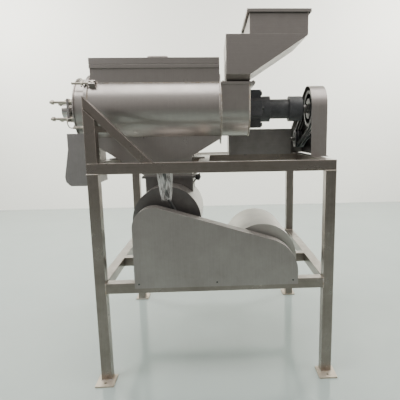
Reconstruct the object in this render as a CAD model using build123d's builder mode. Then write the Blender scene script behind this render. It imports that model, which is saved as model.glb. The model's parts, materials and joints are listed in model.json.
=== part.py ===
from build123d import *
import math
import os

# Two-stage hammer mill on a square-tube frame.
# Millimetres, +Z up, +X along the rotor towards its pulley, +Y away from the operator's side.
# The origin is on the floor, at the centre of the four anchor-bolt holes.

os.makedirs("parts", exist_ok=True)

# ---------------------------------------------------------------- driving dimensions
# Frame
frame_length = 1160
frame_depth = 1050
frame_height = 1090
tube = 50
tube_wall = 3
lower_rail_top = 512
foot_width = 90
foot_reach = 50
foot_thickness = 8
anchor_hole_radius = 7
brace_tube = 38
post_rise = 301
strut_tube = 30
strut_drop = 40

# Rotor line of the drum and the hammer chamber
shaft_inset = 400
shaft_height = 1350
shaft_radius = 25
stub_radius = 15
running_gap = 0.05

# Drum
drum_overhang = 45
drum_length = 667
drum_radius = 180
sheet = 3
thin_sheet = 2
neck_width = 250
neck_inset = 10
neck_rise = 202
rim_height = 17
rim_overhang = 12
lid_skirt = 31
lid_gap = 2
handle_length = 111
handle_rise = 34
handle_bar_radius = 6
hinge_pin_radius = 5
screen_radius = 140
funnel_width = 220
funnel_left_drop = 34
funnel_right_drop = 15

# Discharge end of the drum
ring_thickness = 8
ring_radius = 188
discharge_bore = 150
collar_length = 62
collar_radius = 165
collar_flange = 8
cover_thickness = 6
cover_radius = 172
chute_width = 300
chute_top = 1228
chute_bottom = 958
chute_reach = 112
bridge_gap = 58
rod_length = 150
rod_radius = 7
rod_spacing_y = 120
rod_spacing_z = 86
swing_top_angle = 50
swing_bottom_angle = 62
swing_bolt_radius = 6
swing_bolt_length = 92

# Hammer chamber and its hopper
chamber_radius = 143
chamber_length = 150
chamber_wall = 4
wall_plate = 5
chamber_flange = 12
chamber_flange_lip = 14
chamber_flange_reach = 27
chamber_top = 1480
hopper_depth = 390
hopper_left_inset = 28
hopper_mouth = 121
hopper_taper = 30
hopper_rise = 190
hopper_length = 407
hopper_edge = 6
tray_length = 290
tray_rise = 98
tray_rim = 15
tray_rim_lip = 13
hammer_count = 3
hammer_rows = 4
hammer_pin_circle = 72
hammer_pin_radius = 7
hammer_length = 66
hammer_width = 30
hammer_thickness = 8
rotor_disc_radius = 88
rotor_disc_thickness = 8

# Bearing cartridge
cartridge_lug_reach = 101
cartridge_lug_width = 76
cartridge_lug_length = 69
cartridge_collar_radius = 69
cartridge_collar_length = 50
cartridge_tube_radius = 53
cartridge_tube_length = 106
cartridge_end_radius = 68
cartridge_end_length = 76
bearing_radius = 45
bearing_width = 22

# Upper belt drive
guard_width = 84
guard_start = 1106
guard_radius = 122
guard_tail_radius = 100
guard_foot = 10
pulley_inset = 8
pulley_width = 58
big_pulley_radius = 100
upper_motor_pulley_radius = 55
belt_count = 3
belt_pitch = 18
belt_width = 10
belt_thickness = 9
groove_depth = 10
groove_width = 14
upper_motor_inset = 760
upper_motor_height = 1180
upper_motor_radius = 60
upper_motor_shaft_radius = 14
motor_box_length = 390
motor_box_depth = 240
motor_box_height = 155
motor_box_start = 679
motor_rail_inset = 650

# Lower mill
mill_x = 342
mill_height = 791
mill_radius = 172
mill_front = 131
mill_length = 414
mill_plate = 6
throat_width = 252
throat_flange = 16
throat_flange_thickness = 12
throat_top = 1000
mill_shaft_radius = 20
mill_pulley_radius = 62
mill_bearing_radius = 36
mill_housing_radius = 48
mill_housing_length = 26
mill_screen_radius = 158
beater_tip_radius = 148
spout_width = 170
spout_depth = 210
spout_bottom = 470
saddle_thickness = 8

# Lower belt drive
lower_guard_left = 190
lower_guard_right = 984
lower_guard_lap = 27
lower_guard_depth = 68
lower_guard_head_radius = 100
lower_guard_head_height = 781
lower_guard_tail_radius = 170
lower_guard_tail_height = 547
lower_motor_x = 820
lower_motor_height = 592
lower_motor_radius = 112
lower_motor_front = 130
lower_motor_length = 262
lower_motor_shaft_radius = 19
lower_motor_pulley_radius = 74
motor_pulley_start = 10
motor_base_width = 260
motor_base_thickness = 8
motor_pulley_width = 52
lower_belt_count = 2
shroud_radius = 175
shroud_front = 104
shroud_length = 429
mid_rail_inset = 412
screw_radius = 4

# Supply cable of the lower motor
cable_radius = 8
cable_points = [
    (345, 62, 1037),
    (345, 66, 980),
    (352, 84, 925),
    (372, 96, 872),
    (402, 98, 822),
    (414, 100, 768),
    (408, 100, 712),
    (417, 100, 656),
    (449, 98, 612),
    (484, 102, 586),
    (519, 116, 571),
    (552, 138, 566),
    (584, 158, 566),
    (614, 168, 566),
    (645, 168, 566),
]

# ---------------------------------------------------------------- derived places
half_length = frame_length / 2
half_depth = frame_depth / 2
left = -half_length
front = -half_depth
upper_rail_bottom = frame_height - tube
lower_rail_bottom = lower_rail_top - tube
leg_x = half_length - tube / 2
leg_y = half_depth - tube / 2
anchor_y = half_depth + foot_reach / 2

shaft_y = front + shaft_inset
drum_left = left - drum_overhang
drum_right = drum_left + drum_length
drum_bore = drum_radius - sheet
neck_left = drum_left + neck_inset
neck_top = shaft_height + neck_rise
rim_top = neck_top + rim_height
chamber_left = drum_right + wall_plate
chamber_right = chamber_left + chamber_length
cartridge_right = (
    chamber_right
    + cartridge_lug_length
    + cartridge_collar_length
    + cartridge_tube_length
    + cartridge_end_length
)
guard_left = left + guard_start
pulley_left = guard_left + pulley_inset
upper_motor_y = front + upper_motor_inset
mill_axis_x = left + mill_x
lower_motor_axis_x = left + lower_motor_x
mill_front_y = front + mill_front
mill_back_y = mill_front_y + mill_length
pulley_front_y = front + motor_pulley_start


# ---------------------------------------------------------------- shared shapes
def level(z):
    """A horizontal sketch plane at height z."""
    return Plane.XY.offset(z)


def facing(y):
    """An upright sketch plane across the depth, local axes X and Z; it extrudes towards -Y."""
    return Plane.XZ.offset(-y)


def across(x):
    """An upright sketch plane across the length, local axes Y and Z; it extrudes towards +X."""
    return Plane.YZ.offset(x)


def rect_face(plane, centre, width, height):
    with BuildSketch(plane) as face:
        with Locations(centre):
            Rectangle(width, height)
    return face.sketch


def tube_face(plane, centre, size):
    """The hollow section of a square tube."""
    with BuildSketch(plane) as face:
        with Locations(centre):
            Rectangle(size, size)
            Rectangle(size - 2 * tube_wall, size - 2 * tube_wall, mode=Mode.SUBTRACT)
    return face.sketch


def disc_face(plane, centre, outer, inner=0):
    with BuildSketch(plane) as face:
        with Locations(centre):
            Circle(outer)
            if inner > 0:
                Circle(inner, mode=Mode.SUBTRACT)
    return face.sketch


def poly_face(plane, points):
    with BuildSketch(plane) as face:
        with BuildLine():
            Polyline(*points, close=True)
        make_face()
    return face.sketch


def belt_loop_face(plane, first, first_radius, second, second_radius):
    """A face bounded by two circles and their outer tangents."""
    with BuildSketch(plane) as face:
        with Locations(first):
            Circle(first_radius)
        with Locations(second):
            Circle(second_radius)
        make_hull()
    return face.sketch


def pulley_profile(radius, width, bore, grooves):
    """Half section of a V-belt pulley: local X along the axis, local Y away from it."""
    hub = min(2.2 * bore, radius - groove_depth - 12)
    web = width / 5
    rim_inner = radius - groove_depth - 7
    points = [(0, rim_inner), (0, radius)]
    start = (width - (grooves - 1) * belt_pitch) / 2
    half_top = groove_width / 2
    half_floor = (belt_width + 1) / 2
    for index in range(grooves):
        middle = start + index * belt_pitch
        points.append((middle - half_top, radius))
        points.append((middle - half_floor, radius - groove_depth))
        points.append((middle + half_floor, radius - groove_depth))
        points.append((middle + half_top, radius))
    points.append((width, radius))
    points.append((width, rim_inner))
    web_end = (width + web) / 2
    web_start = (width - web) / 2
    points.append((web_end, rim_inner))
    points.append((web_end, hub))
    points.append((width, hub))
    points.append((width, bore))
    points.append((0, bore))
    points.append((0, hub))
    points.append((web_start, hub))
    points.append((web_start, rim_inner))
    return points


def groove_places(width, grooves):
    start = (width - (grooves - 1) * belt_pitch) / 2
    return [start + index * belt_pitch - belt_width / 2 for index in range(grooves)]


def save_group(label, *builders):
    """Write several builders' solids as one node, each piece still its own solid."""
    group = Compound(obj=[solid for builder in builders for solid in builder.part.solids()])
    group.label = label
    export_step(group, "parts/" + label + ".step")


# ---------------------------------------------------------------- frame
with BuildPart() as legs:
    for x in (-leg_x, leg_x):
        for y in (-leg_y, leg_y):
            leg_section = tube_face(level(foot_thickness), (x, y), tube)
            extrude(leg_section, amount=upper_rail_bottom - foot_thickness)
legs.part.label = "legs"
export_step(legs.part, "parts/legs.step")

with BuildPart() as foot_plates:
    for x in (-leg_x, leg_x):
        for side in (-1, 1):
            plate_depth = tube + foot_reach
            plate_y = side * (half_depth + foot_reach - plate_depth / 2)
            plate = rect_face(level(0), (x, plate_y), foot_width, plate_depth)
            extrude(plate, amount=foot_thickness)
            hole = disc_face(level(0), (x, side * anchor_y), anchor_hole_radius)
            extrude(hole, amount=foot_thickness, mode=Mode.SUBTRACT)
foot_plates.part.label = "foot_plates"
export_step(foot_plates.part, "parts/foot_plates.step")

with BuildPart() as upper_rails:
    for y in (-leg_y, leg_y):
        section = tube_face(across(left), (y, frame_height - tube / 2), tube)
        extrude(section, amount=frame_length)
    for x in (-leg_x, leg_x):
        section = tube_face(facing(half_depth - tube), (x, frame_height - tube / 2), tube)
        extrude(section, amount=frame_depth - 2 * tube)
upper_rails.part.label = "upper_rails"
export_step(upper_rails.part, "parts/upper_rails.step")

with BuildPart() as lower_rails:
    for y in (-leg_y, leg_y):
        section = tube_face(across(left + tube), (y, lower_rail_top - tube / 2), tube)
        extrude(section, amount=frame_length - 2 * tube)
    for x in (-leg_x, leg_x):
        section = tube_face(facing(half_depth - tube), (x, lower_rail_top - tube / 2), tube)
        extrude(section, amount=frame_depth - 2 * tube)
lower_rails.part.label = "lower_rails"
export_step(lower_rails.part, "parts/lower_rails.step")

mid_rail_y = front + mid_rail_inset + tube / 2
motor_rail_y = front + motor_rail_inset + tube / 2
far_motor_rail_y = motor_rail_y + motor_box_depth - 2 * tube
drum_rail_x = mill_axis_x + throat_width / 2 + throat_flange + tube
mill_bearer_offset = spout_width / 2 + tube
with BuildPart() as cross_rails:
    section = tube_face(across(left + tube), (mid_rail_y, lower_rail_top - tube / 2), tube)
    extrude(section, amount=frame_length - 2 * tube)
    for y in (motor_rail_y, far_motor_rail_y):
        section = tube_face(across(left + tube), (y, frame_height - tube / 2), tube)
        extrude(section, amount=frame_length - 2 * tube)
    section = tube_face(facing(motor_rail_y - tube / 2), (drum_rail_x, frame_height - tube / 2), tube)
    extrude(section, amount=motor_rail_inset - tube)
    for side in (-1, 1):
        bearer_x = mill_axis_x + side * mill_bearer_offset
        section = tube_face(facing(mid_rail_y - tube / 2), (bearer_x, lower_rail_top - tube / 2), tube)
        extrude(section, amount=mid_rail_inset - tube)

with BuildPart() as motor_base:
    base_depth = mid_rail_inset - tube
    base_centre = (left + lower_motor_x, front + tube + base_depth / 2)
    extrude(rect_face(level(lower_rail_bottom), base_centre, motor_base_width, base_depth), amount=motor_base_thickness)
save_group("cross_rails", cross_rails, motor_base)

# The end posts are mitred under a brace that runs down to the upper rail at 45 degrees.
brace_drop = brace_tube * math.sqrt(2)
post_top = frame_height + post_rise
with BuildPart() as end_posts:
    for y in (-leg_y, leg_y):
        section = tube_face(level(frame_height), (-leg_x, y), tube)
        extrude(section, amount=post_rise)
    mitre = [
        (left - 1, post_top - brace_drop + 1),
        (left - 1, post_top + tube),
        (left + tube + 1, post_top + tube),
        (left + tube + 1, post_top - brace_drop - tube - 1),
    ]
    extrude(poly_face(facing(half_depth), mitre), amount=frame_depth, mode=Mode.SUBTRACT)

brace_outline = [
    (left, post_top),
    (left, post_top - brace_drop),
    (left + post_rise - brace_drop, frame_height),
    (left + post_rise, frame_height),
]
with BuildPart() as end_braces:
    for y in (-leg_y + brace_tube / 2, leg_y + brace_tube / 2):
        extrude(poly_face(facing(y), brace_outline), amount=brace_tube)

strut_z = post_top - brace_drop - tube - strut_drop
with BuildPart() as drum_struts:
    for side in (-1, 1):
        start_y = side * (half_depth - tube)
        length = abs(start_y - shaft_y)
        section = tube_face(facing(start_y), (-leg_x, strut_z), strut_tube)
        extrude(section, amount=length * side)
    saddle = disc_face(across(left - tube), (shaft_y, shaft_height), drum_radius)
    extrude(saddle, amount=3 * tube, mode=Mode.SUBTRACT)


save_group("end_supports", end_posts, end_braces, drum_struts)

# ---------------------------------------------------------------- drum
funnel_half = funnel_width / 2
with BuildPart() as drum_shell:
    extrude(disc_face(across(drum_left), (shaft_y, shaft_height), drum_radius), amount=drum_length)
    neck_length = drum_right - neck_left
    neck_centre = ((neck_left + drum_right) / 2, shaft_y)
    neck = rect_face(level(shaft_height), neck_centre, neck_length, neck_width)
    extrude(neck, amount=neck_rise)
    rim = rect_face(level(neck_top), neck_centre, neck_length, neck_width + 2 * rim_overhang)
    extrude(rim, amount=rim_height)
    bore = disc_face(across(drum_left), (shaft_y, shaft_height), drum_bore)
    extrude(bore, amount=drum_length, mode=Mode.SUBTRACT)
    mouth = rect_face(level(shaft_height), neck_centre, neck_length - 2 * sheet, neck_width - 2 * sheet)
    extrude(mouth, amount=neck_rise + rim_height, mode=Mode.SUBTRACT)
    outlet_centre = ((drum_left + drum_right) / 2, shaft_y)
    outlet = rect_face(level(shaft_height), outlet_centre, drum_length, funnel_width)
    extrude(outlet, amount=-2 * drum_radius, mode=Mode.SUBTRACT)
drum_shell.part.label = "drum_shell"
export_step(drum_shell.part, "parts/drum_shell.step")

with BuildPart() as drum_end_plates:
    ring = disc_face(across(drum_left - ring_thickness), (shaft_y, shaft_height), ring_radius, discharge_bore)
    extrude(ring, amount=ring_thickness)
    passage = disc_face(across(drum_right), (shaft_y, shaft_height), ring_radius, chamber_radius - 20)
    extrude(passage, amount=wall_plate)
drum_end_plates.part.label = "drum_end_plates"
export_step(drum_end_plates.part, "parts/drum_end_plates.step")

# The funnel is a slanted sheet box under the drum, ending in the throat opening of the mill.
funnel_top = shaft_height - math.sqrt(drum_radius**2 - funnel_half**2)
throat_left = mill_axis_x - throat_width / 2
throat_right = mill_axis_x + throat_width / 2
funnel_left_z = funnel_top - funnel_left_drop
funnel_right_z = funnel_top - funnel_right_drop
funnel_break_z = funnel_right_z - 0.58 * (drum_right - throat_right)
lug_x = left + tube / 2
lug_left_slope = (funnel_left_z - throat_top) / (throat_left - drum_left)
lug_left_end = drum_left + (funnel_left_z - frame_height) / lug_left_slope
with BuildPart() as collecting_funnel:
    outline = [
        (drum_left, funnel_top),
        (drum_left, funnel_left_z),
        (throat_left, throat_top),
        (throat_right, throat_top),
        (throat_right, funnel_break_z),
        (drum_right, funnel_right_z),
        (drum_right, funnel_top),
    ]
    extrude(poly_face(facing(shaft_y + funnel_half), outline), amount=funnel_width)
    inside = [
        (drum_left + sheet, funnel_top + sheet),
        (drum_left + sheet, funnel_left_z + sheet),
        (throat_left + sheet, throat_top + sheet),
        (throat_left + sheet, throat_top - sheet),
        (throat_right - sheet, throat_top - sheet),
        (throat_right - sheet, funnel_break_z + sheet),
        (drum_right - sheet, funnel_right_z + sheet),
        (drum_right - sheet, funnel_top + sheet),
    ]
    hollow = poly_face(facing(shaft_y + funnel_half - sheet), inside)
    extrude(hollow, amount=funnel_width - 2 * sheet, mode=Mode.SUBTRACT)
    left_lug = rect_face(level(frame_height), ((lug_x + lug_left_end) / 2, shaft_y), lug_left_end - lug_x, 160)
    extrude(left_lug, amount=2 * sheet)
    right_lug_x = (throat_right + drum_rail_x) / 2
    right_lug = rect_face(level(frame_height), (right_lug_x, shaft_y), drum_rail_x - throat_right, 160)
    extrude(right_lug, amount=2 * sheet)
collecting_funnel.part.label = "collecting_funnel"
export_step(collecting_funnel.part, "parts/collecting_funnel.step")

with BuildPart() as drum_screen:
    section = disc_face(across(drum_left), (shaft_y, shaft_height), screen_radius, screen_radius - thin_sheet)
    extrude(section, amount=drum_length)
    upper = rect_face(across(drum_left), (shaft_y, shaft_height + drum_radius), 3 * drum_radius, 2 * drum_radius)
    extrude(upper, amount=drum_length, mode=Mode.SUBTRACT)
drum_screen.part.label = "drum_screen"
export_step(drum_screen.part, "parts/drum_screen.step")

lid_bottom = rim_top + lid_gap
lid_width = neck_width + 2 * rim_overhang
hinge_y = shaft_y + lid_width / 2 + 3 * hinge_pin_radius
hinge_z = lid_bottom + 2 * hinge_pin_radius
lid_centre = ((neck_left + drum_right) / 2, shaft_y)
hinge_places = [neck_left + drum_length / 6, drum_right - drum_length / 6]
knuckle = 24
with BuildPart() as drum_lid:
    extrude(rect_face(level(lid_bottom), lid_centre, neck_length, lid_width), amount=lid_skirt)
    under = rect_face(level(lid_bottom), lid_centre, neck_length - 2 * sheet, lid_width - 2 * sheet)
    extrude(under, amount=lid_skirt - thin_sheet, mode=Mode.SUBTRACT)
    for x in hinge_places:
        ear_outline = rect_face(across(x - knuckle / 2), (hinge_y - 9, hinge_z), 18, 4 * hinge_pin_radius)
        extrude(ear_outline, amount=knuckle)
        ear = disc_face(across(x - knuckle / 2), (hinge_y, hinge_z), 2 * hinge_pin_radius)
        extrude(ear, amount=knuckle)
        pin_hole = disc_face(across(x - knuckle / 2), (hinge_y, hinge_z), hinge_pin_radius + running_gap)
        extrude(pin_hole, amount=knuckle, mode=Mode.SUBTRACT)
drum_lid.part.label = "drum_lid"
export_step(drum_lid.part, "parts/drum_lid.step")

with BuildPart() as lid_handle:
    handle_z = lid_bottom + lid_skirt
    handle_top = handle_z + handle_rise - handle_bar_radius
    with BuildLine() as handle_path:
        FilletPolyline(
            (lid_centre[0] - handle_length / 2, shaft_y, handle_z),
            (lid_centre[0] - handle_length / 2, shaft_y, handle_top),
            (lid_centre[0] + handle_length / 2, shaft_y, handle_top),
            (lid_centre[0] + handle_length / 2, shaft_y, handle_z),
            radius=2 * handle_bar_radius,
        )
    with BuildSketch(Plane(handle_path.line @ 0, z_dir=handle_path.line % 0)):
        Circle(handle_bar_radius)
    sweep()
lid_handle.part.label = "lid_handle"
export_step(lid_handle.part, "parts/lid_handle.step")

with BuildPart() as lid_hinges:
    rim_back = shaft_y + lid_width / 2
    for x in hinge_places:
        for side in (-1, 1):
            cheek_x = x + side * (knuckle / 2 + 1 + 3) - 3
            cheek_width = hinge_y - rim_back + 9
            cheek_z = (neck_top + hinge_z) / 2
            cheek_y = rim_back + cheek_width / 2
            cheek = rect_face(across(cheek_x), (cheek_y, cheek_z), cheek_width, hinge_z - neck_top)
            extrude(cheek, amount=6)
            extrude(disc_face(across(cheek_x), (hinge_y, hinge_z), 9), amount=6)
        pin = disc_face(across(x - knuckle / 2 - 4), (hinge_y, hinge_z), hinge_pin_radius)
        extrude(pin, amount=knuckle + 8)

# ---------------------------------------------------------------- discharge end
collar_left = drum_left - ring_thickness - collar_length
swing_radius = ring_radius + 9
swing_angles = [
    90 - swing_top_angle,
    90 + swing_top_angle,
    270 - swing_bottom_angle,
    270 + swing_bottom_angle,
]
flange_left = drum_left - ring_thickness - collar_flange
with BuildPart() as discharge_collar:
    body = disc_face(across(collar_left), (shaft_y, shaft_height), collar_radius, collar_radius - 2 * sheet)
    extrude(body, amount=collar_length)
    flange = disc_face(across(flange_left), (shaft_y, shaft_height), ring_radius, discharge_bore)
    extrude(flange, amount=collar_flange)
    for angle in swing_angles:
        ear_y = shaft_y + (swing_radius - 4) * math.cos(math.radians(angle))
        ear_z = shaft_height + (swing_radius - 4) * math.sin(math.radians(angle))
        with BuildSketch(across(flange_left)):
            with Locations(Location((ear_y, ear_z), angle)):
                Rectangle(12, 34)
        extrude(amount=collar_flange)
        slot_y = shaft_y + (swing_radius + 4) * math.cos(math.radians(angle))
        slot_z = shaft_height + (swing_radius + 4) * math.sin(math.radians(angle))
        with BuildSketch(across(flange_left)):
            with Locations(Location((slot_y, slot_z), angle)):
                Rectangle(24, 2 * swing_bolt_radius + 2)
        extrude(amount=collar_flange, mode=Mode.SUBTRACT)
    fall_x = (collar_left + flange_left) / 2
    fall = rect_face(level(shaft_height), (fall_x, shaft_y), flange_left - collar_left, 1.3 * collar_radius)
    extrude(fall, amount=-ring_radius, mode=Mode.SUBTRACT)
discharge_collar.part.label = "discharge_collar"
export_step(discharge_collar.part, "parts/discharge_collar.step")

rod_places = [
    (shaft_y + side * rod_spacing_y / 2, shaft_height + rise * rod_spacing_z / 2)
    for side in (-1, 1)
    for rise in (-1, 1)
]
cover_left = collar_left - cover_thickness
with BuildPart() as end_cover:
    cover = disc_face(across(cover_left), (shaft_y, shaft_height), cover_radius, 2 * shaft_radius)
    extrude(cover, amount=cover_thickness)
    boss = disc_face(across(cover_left - 14), (shaft_y, shaft_height), 2 * shaft_radius + 8, 2 * shaft_radius)
    extrude(boss, amount=14)
end_cover.part.label = "end_cover"
export_step(end_cover.part, "parts/end_cover.step")

bridge_left = cover_left - bridge_gap
bridge_thickness = 12
with BuildPart() as end_bearing_housing:
    plate_size = (rod_spacing_y + 44, rod_spacing_z + 34)
    bridge = rect_face(across(bridge_left), (shaft_y, shaft_height), *plate_size)
    extrude(bridge, amount=bridge_thickness)
    barrel = disc_face(across(bridge_left - 44), (shaft_y, shaft_height), 36)
    extrude(barrel, amount=80)
    seat = disc_face(across(bridge_left - 34), (shaft_y, shaft_height), 28)
    extrude(seat, amount=70, mode=Mode.SUBTRACT)
    for place in rod_places:
        rod_hole = disc_face(across(bridge_left), place, rod_radius)
        extrude(rod_hole, amount=bridge_thickness, mode=Mode.SUBTRACT)
end_bearing_housing.part.label = "end_bearing_housing"
export_step(end_bearing_housing.part, "parts/end_bearing_housing.step")

with BuildPart() as adjusting_rods:
    for place in rod_places:
        extrude(disc_face(across(cover_left - rod_length), place, rod_radius), amount=rod_length)
        for nut_x in (cover_left - 12, bridge_left + bridge_thickness, bridge_left - 12, cover_left - rod_length + 8):
            with BuildSketch(across(nut_x)):
                with Locations(place):
                    RegularPolygon(2 * rod_radius - 1, 6)
            extrude(amount=12)
adjusting_rods.part.label = "adjusting_rods"
export_step(adjusting_rods.part, "parts/adjusting_rods.step")

# Swing bolts: a forked lug on the drum, a cross pin and an eye bolt that drops into the collar's slot.
lug_length = 32
lug_start = drum_left + 10
pivot_x = lug_start + lug_length / 2
lug_sheet = 6
eye_half = 6


def swing_plane(angle, x, offset=0):
    """Local X along the rotor line, local Y away from it, seen along the pivot pin."""
    radians = math.radians(angle)
    outward = Vector(0, math.cos(radians), math.sin(radians))
    along = Vector(0, -math.sin(radians), math.cos(radians))
    start = Vector(x, shaft_y, shaft_height) + outward * swing_radius + along * offset
    return Plane(start, x_dir=(1, 0, 0), z_dir=Vector(1, 0, 0).cross(outward))


with BuildPart() as swing_lugs:
    for angle in swing_angles:
        for side in (-1, 1):
            ear_offset = side * (eye_half + 0.5 + lug_sheet / 2)
            with BuildSketch(swing_plane(angle, pivot_x, ear_offset)):
                with Locations((0, -4)):
                    Rectangle(lug_length, 28)
            extrude(amount=lug_sheet / 2, both=True)
        with BuildSketch(swing_plane(angle, pivot_x)):
            Circle(swing_bolt_radius - 1)
        extrude(amount=eye_half + 1 + lug_sheet, both=True)
    body = disc_face(across(drum_left), (shaft_y, shaft_height), drum_radius)
    extrude(body, amount=drum_length, mode=Mode.SUBTRACT)
save_group("hinge_lugs", lid_hinges, swing_lugs)

swing_names = ["back_top", "front_top", "front_bottom", "back_bottom"]
for swing_name, angle in zip(swing_names, swing_angles):
    with BuildPart() as swing_bolt:
        with BuildSketch(swing_plane(angle, pivot_x)):
            Circle(12)
            Circle(swing_bolt_radius - 1 + running_gap, mode=Mode.SUBTRACT)
        extrude(amount=eye_half, both=True)
        radians = math.radians(angle)
        rod_y = shaft_y + swing_radius * math.cos(radians)
        rod_z = shaft_height + swing_radius * math.sin(radians)
        rod_end = pivot_x - swing_bolt_length - 10
        rod = disc_face(across(rod_end), (rod_y, rod_z), swing_bolt_radius)
        extrude(rod, amount=swing_bolt_length)
        nut_x = flange_left - 14
        with BuildSketch(across(nut_x)):
            with Locations((rod_y, rod_z)):
                RegularPolygon(12, 6)
        extrude(amount=12)
        with BuildSketch(across(nut_x + 3)):
            with Locations(Location((rod_y, rod_z), angle)):
                Rectangle(6, 44)
        extrude(amount=6)
    swing_bolt.part.label = "swing_bolt_" + swing_name
    export_step(swing_bolt.part, "parts/swing_bolt_" + swing_name + ".step")

chute_right = drum_left - ring_thickness
chute_left = chute_right - chute_reach
with BuildPart() as residue_chute:
    side_outline = [
        (chute_right, chute_top),
        (chute_right, chute_bottom),
        (chute_left, chute_bottom),
        (chute_left - 22, chute_bottom + 22),
        (chute_left - 26, chute_bottom + 50),
        (chute_left, chute_bottom + 190),
        (chute_left, chute_top),
    ]
    for y in (shaft_y - chute_width / 2 + sheet, shaft_y + chute_width / 2):
        with BuildSketch(facing(y)):
            add(poly_face(Plane.XY, side_outline))
            fillet(vertices().group_by(Axis.Y)[0].sort_by(Axis.X)[0], 20)
        extrude(amount=sheet)
    back_centre_z = (chute_bottom + shaft_height - collar_radius) / 2
    back_height = shaft_height - collar_radius - chute_bottom
    back = rect_face(across(chute_right - sheet), (shaft_y, back_centre_z), chute_width, back_height)
    extrude(back, amount=sheet)
    clear = disc_face(across(chute_left), (shaft_y, shaft_height), ring_radius)
    extrude(clear, amount=chute_reach, mode=Mode.SUBTRACT)
residue_chute.part.label = "residue_chute"
export_step(residue_chute.part, "parts/residue_chute.step")

# ---------------------------------------------------------------- hammer chamber
chamber_flange_bottom = chamber_top - chamber_flange


def chamber_face(plane, radius):
    """A trough section: a half round below the rotor line with straight walls above it."""
    with BuildSketch(plane) as face:
        with Locations((shaft_y, shaft_height)):
            Circle(radius)
        with Locations((shaft_y, (shaft_height + chamber_top) / 2)):
            Rectangle(2 * radius, chamber_top - shaft_height)
        with Locations((shaft_y, chamber_top + radius)):
            Rectangle(3 * radius, 2 * radius, mode=Mode.SUBTRACT)
    return face.sketch


with BuildPart() as hammer_chamber:
    extrude(chamber_face(across(chamber_left), chamber_radius), amount=chamber_length)
    flange_length = chamber_length + chamber_flange_reach
    flange_centre = (chamber_left + flange_length / 2, shaft_y)
    flange_width = 2 * (chamber_radius + chamber_flange_lip)
    flange = rect_face(level(chamber_flange_bottom), flange_centre, flange_length, flange_width)
    extrude(flange, amount=chamber_flange)
    inside = chamber_face(across(chamber_left), chamber_radius - chamber_wall)
    extrude(inside, amount=chamber_length, mode=Mode.SUBTRACT)
hammer_chamber.part.label = "hammer_chamber"
export_step(hammer_chamber.part, "parts/hammer_chamber.step")

end_plate_thickness = 8
with BuildPart() as chamber_end_plate:
    plate = chamber_face(across(chamber_right - end_plate_thickness), chamber_radius - chamber_wall)
    extrude(plate, amount=end_plate_thickness)
    hole = disc_face(across(chamber_right - end_plate_thickness), (shaft_y, shaft_height), bearing_radius)
    extrude(hole, amount=end_plate_thickness, mode=Mode.SUBTRACT)
chamber_end_plate.part.label = "chamber_end_plate"
export_step(chamber_end_plate.part, "parts/chamber_end_plate.step")

# The hopper is a wedge: an upright chute at the left and a sloping floor under the feed tray.
hopper_left = left + drum_length - drum_overhang + hopper_left_inset + wall_plate
hopper_bottom = chamber_top + hopper_taper
hopper_top = hopper_bottom + hopper_rise
hopper_right = hopper_left + hopper_length
mouth_right = hopper_left + hopper_mouth
tray_left = hopper_right - tray_length
throat_depth = 2 * (chamber_radius - chamber_wall)


def hopper_outline(inset):
    return [
        (hopper_left + inset, hopper_bottom),
        (mouth_right - inset, hopper_bottom),
        (hopper_right - inset, hopper_top - hopper_edge + inset / 2),
        (hopper_right - inset, hopper_top),
        (hopper_left + inset, hopper_top),
    ]


def hopper_taper_solid(inset):
    """The short pyramid between the wedge and the chamber's flange."""
    centre = ((hopper_left + mouth_right) / 2, shaft_y)
    width = hopper_mouth - 2 * inset
    with BuildPart() as taper:
        with BuildSketch(level(chamber_top)):
            with Locations(centre):
                Rectangle(width, throat_depth - 2 * inset)
        with BuildSketch(level(hopper_bottom)):
            with Locations(centre):
                Rectangle(width, hopper_depth - 2 * inset)
        loft()
    return taper.part


with BuildPart() as hopper:
    outline = poly_face(facing(shaft_y + hopper_depth / 2), hopper_outline(0))
    extrude(outline, amount=hopper_depth)
    add(hopper_taper_solid(0))
    inside = poly_face(facing(shaft_y + hopper_depth / 2 - thin_sheet), hopper_outline(thin_sheet))
    extrude(inside, amount=hopper_depth - 2 * thin_sheet, mode=Mode.SUBTRACT)
    add(hopper_taper_solid(thin_sheet), mode=Mode.SUBTRACT)
    roof_length = tray_left - hopper_left
    roof_centre = (hopper_left + roof_length / 2, shaft_y)
    roof = rect_face(level(hopper_top), roof_centre, roof_length, hopper_depth)
    extrude(roof, amount=-thin_sheet)
hopper.part.label = "hopper"
export_step(hopper.part, "parts/hopper.step")

tray_top = hopper_top + tray_rise
with BuildPart() as feed_tray:
    tray_centre = (tray_left + tray_length / 2, shaft_y)
    extrude(rect_face(level(hopper_top), tray_centre, tray_length, hopper_depth), amount=tray_rise)
    rim_size = (tray_length + 2 * tray_rim_lip, hopper_depth + 2 * tray_rim_lip)
    extrude(rect_face(level(tray_top), tray_centre, *rim_size), amount=tray_rim)
    skirt_size = (rim_size[0] - 2 * thin_sheet, rim_size[1] - 2 * thin_sheet)
    skirt = rect_face(level(tray_top), tray_centre, *skirt_size)
    extrude(skirt, amount=tray_rim - thin_sheet, mode=Mode.SUBTRACT)
    extrude(rect_face(level(tray_top), tray_centre, tray_length, hopper_depth), amount=tray_rim)
    well_size = (tray_length - 2 * thin_sheet, hopper_depth - 2 * thin_sheet)
    well = rect_face(level(hopper_top), tray_centre, *well_size)
    extrude(well, amount=tray_rise + tray_rim, mode=Mode.SUBTRACT)
feed_tray.part.label = "feed_tray"
export_step(feed_tray.part, "parts/feed_tray.step")

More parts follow.
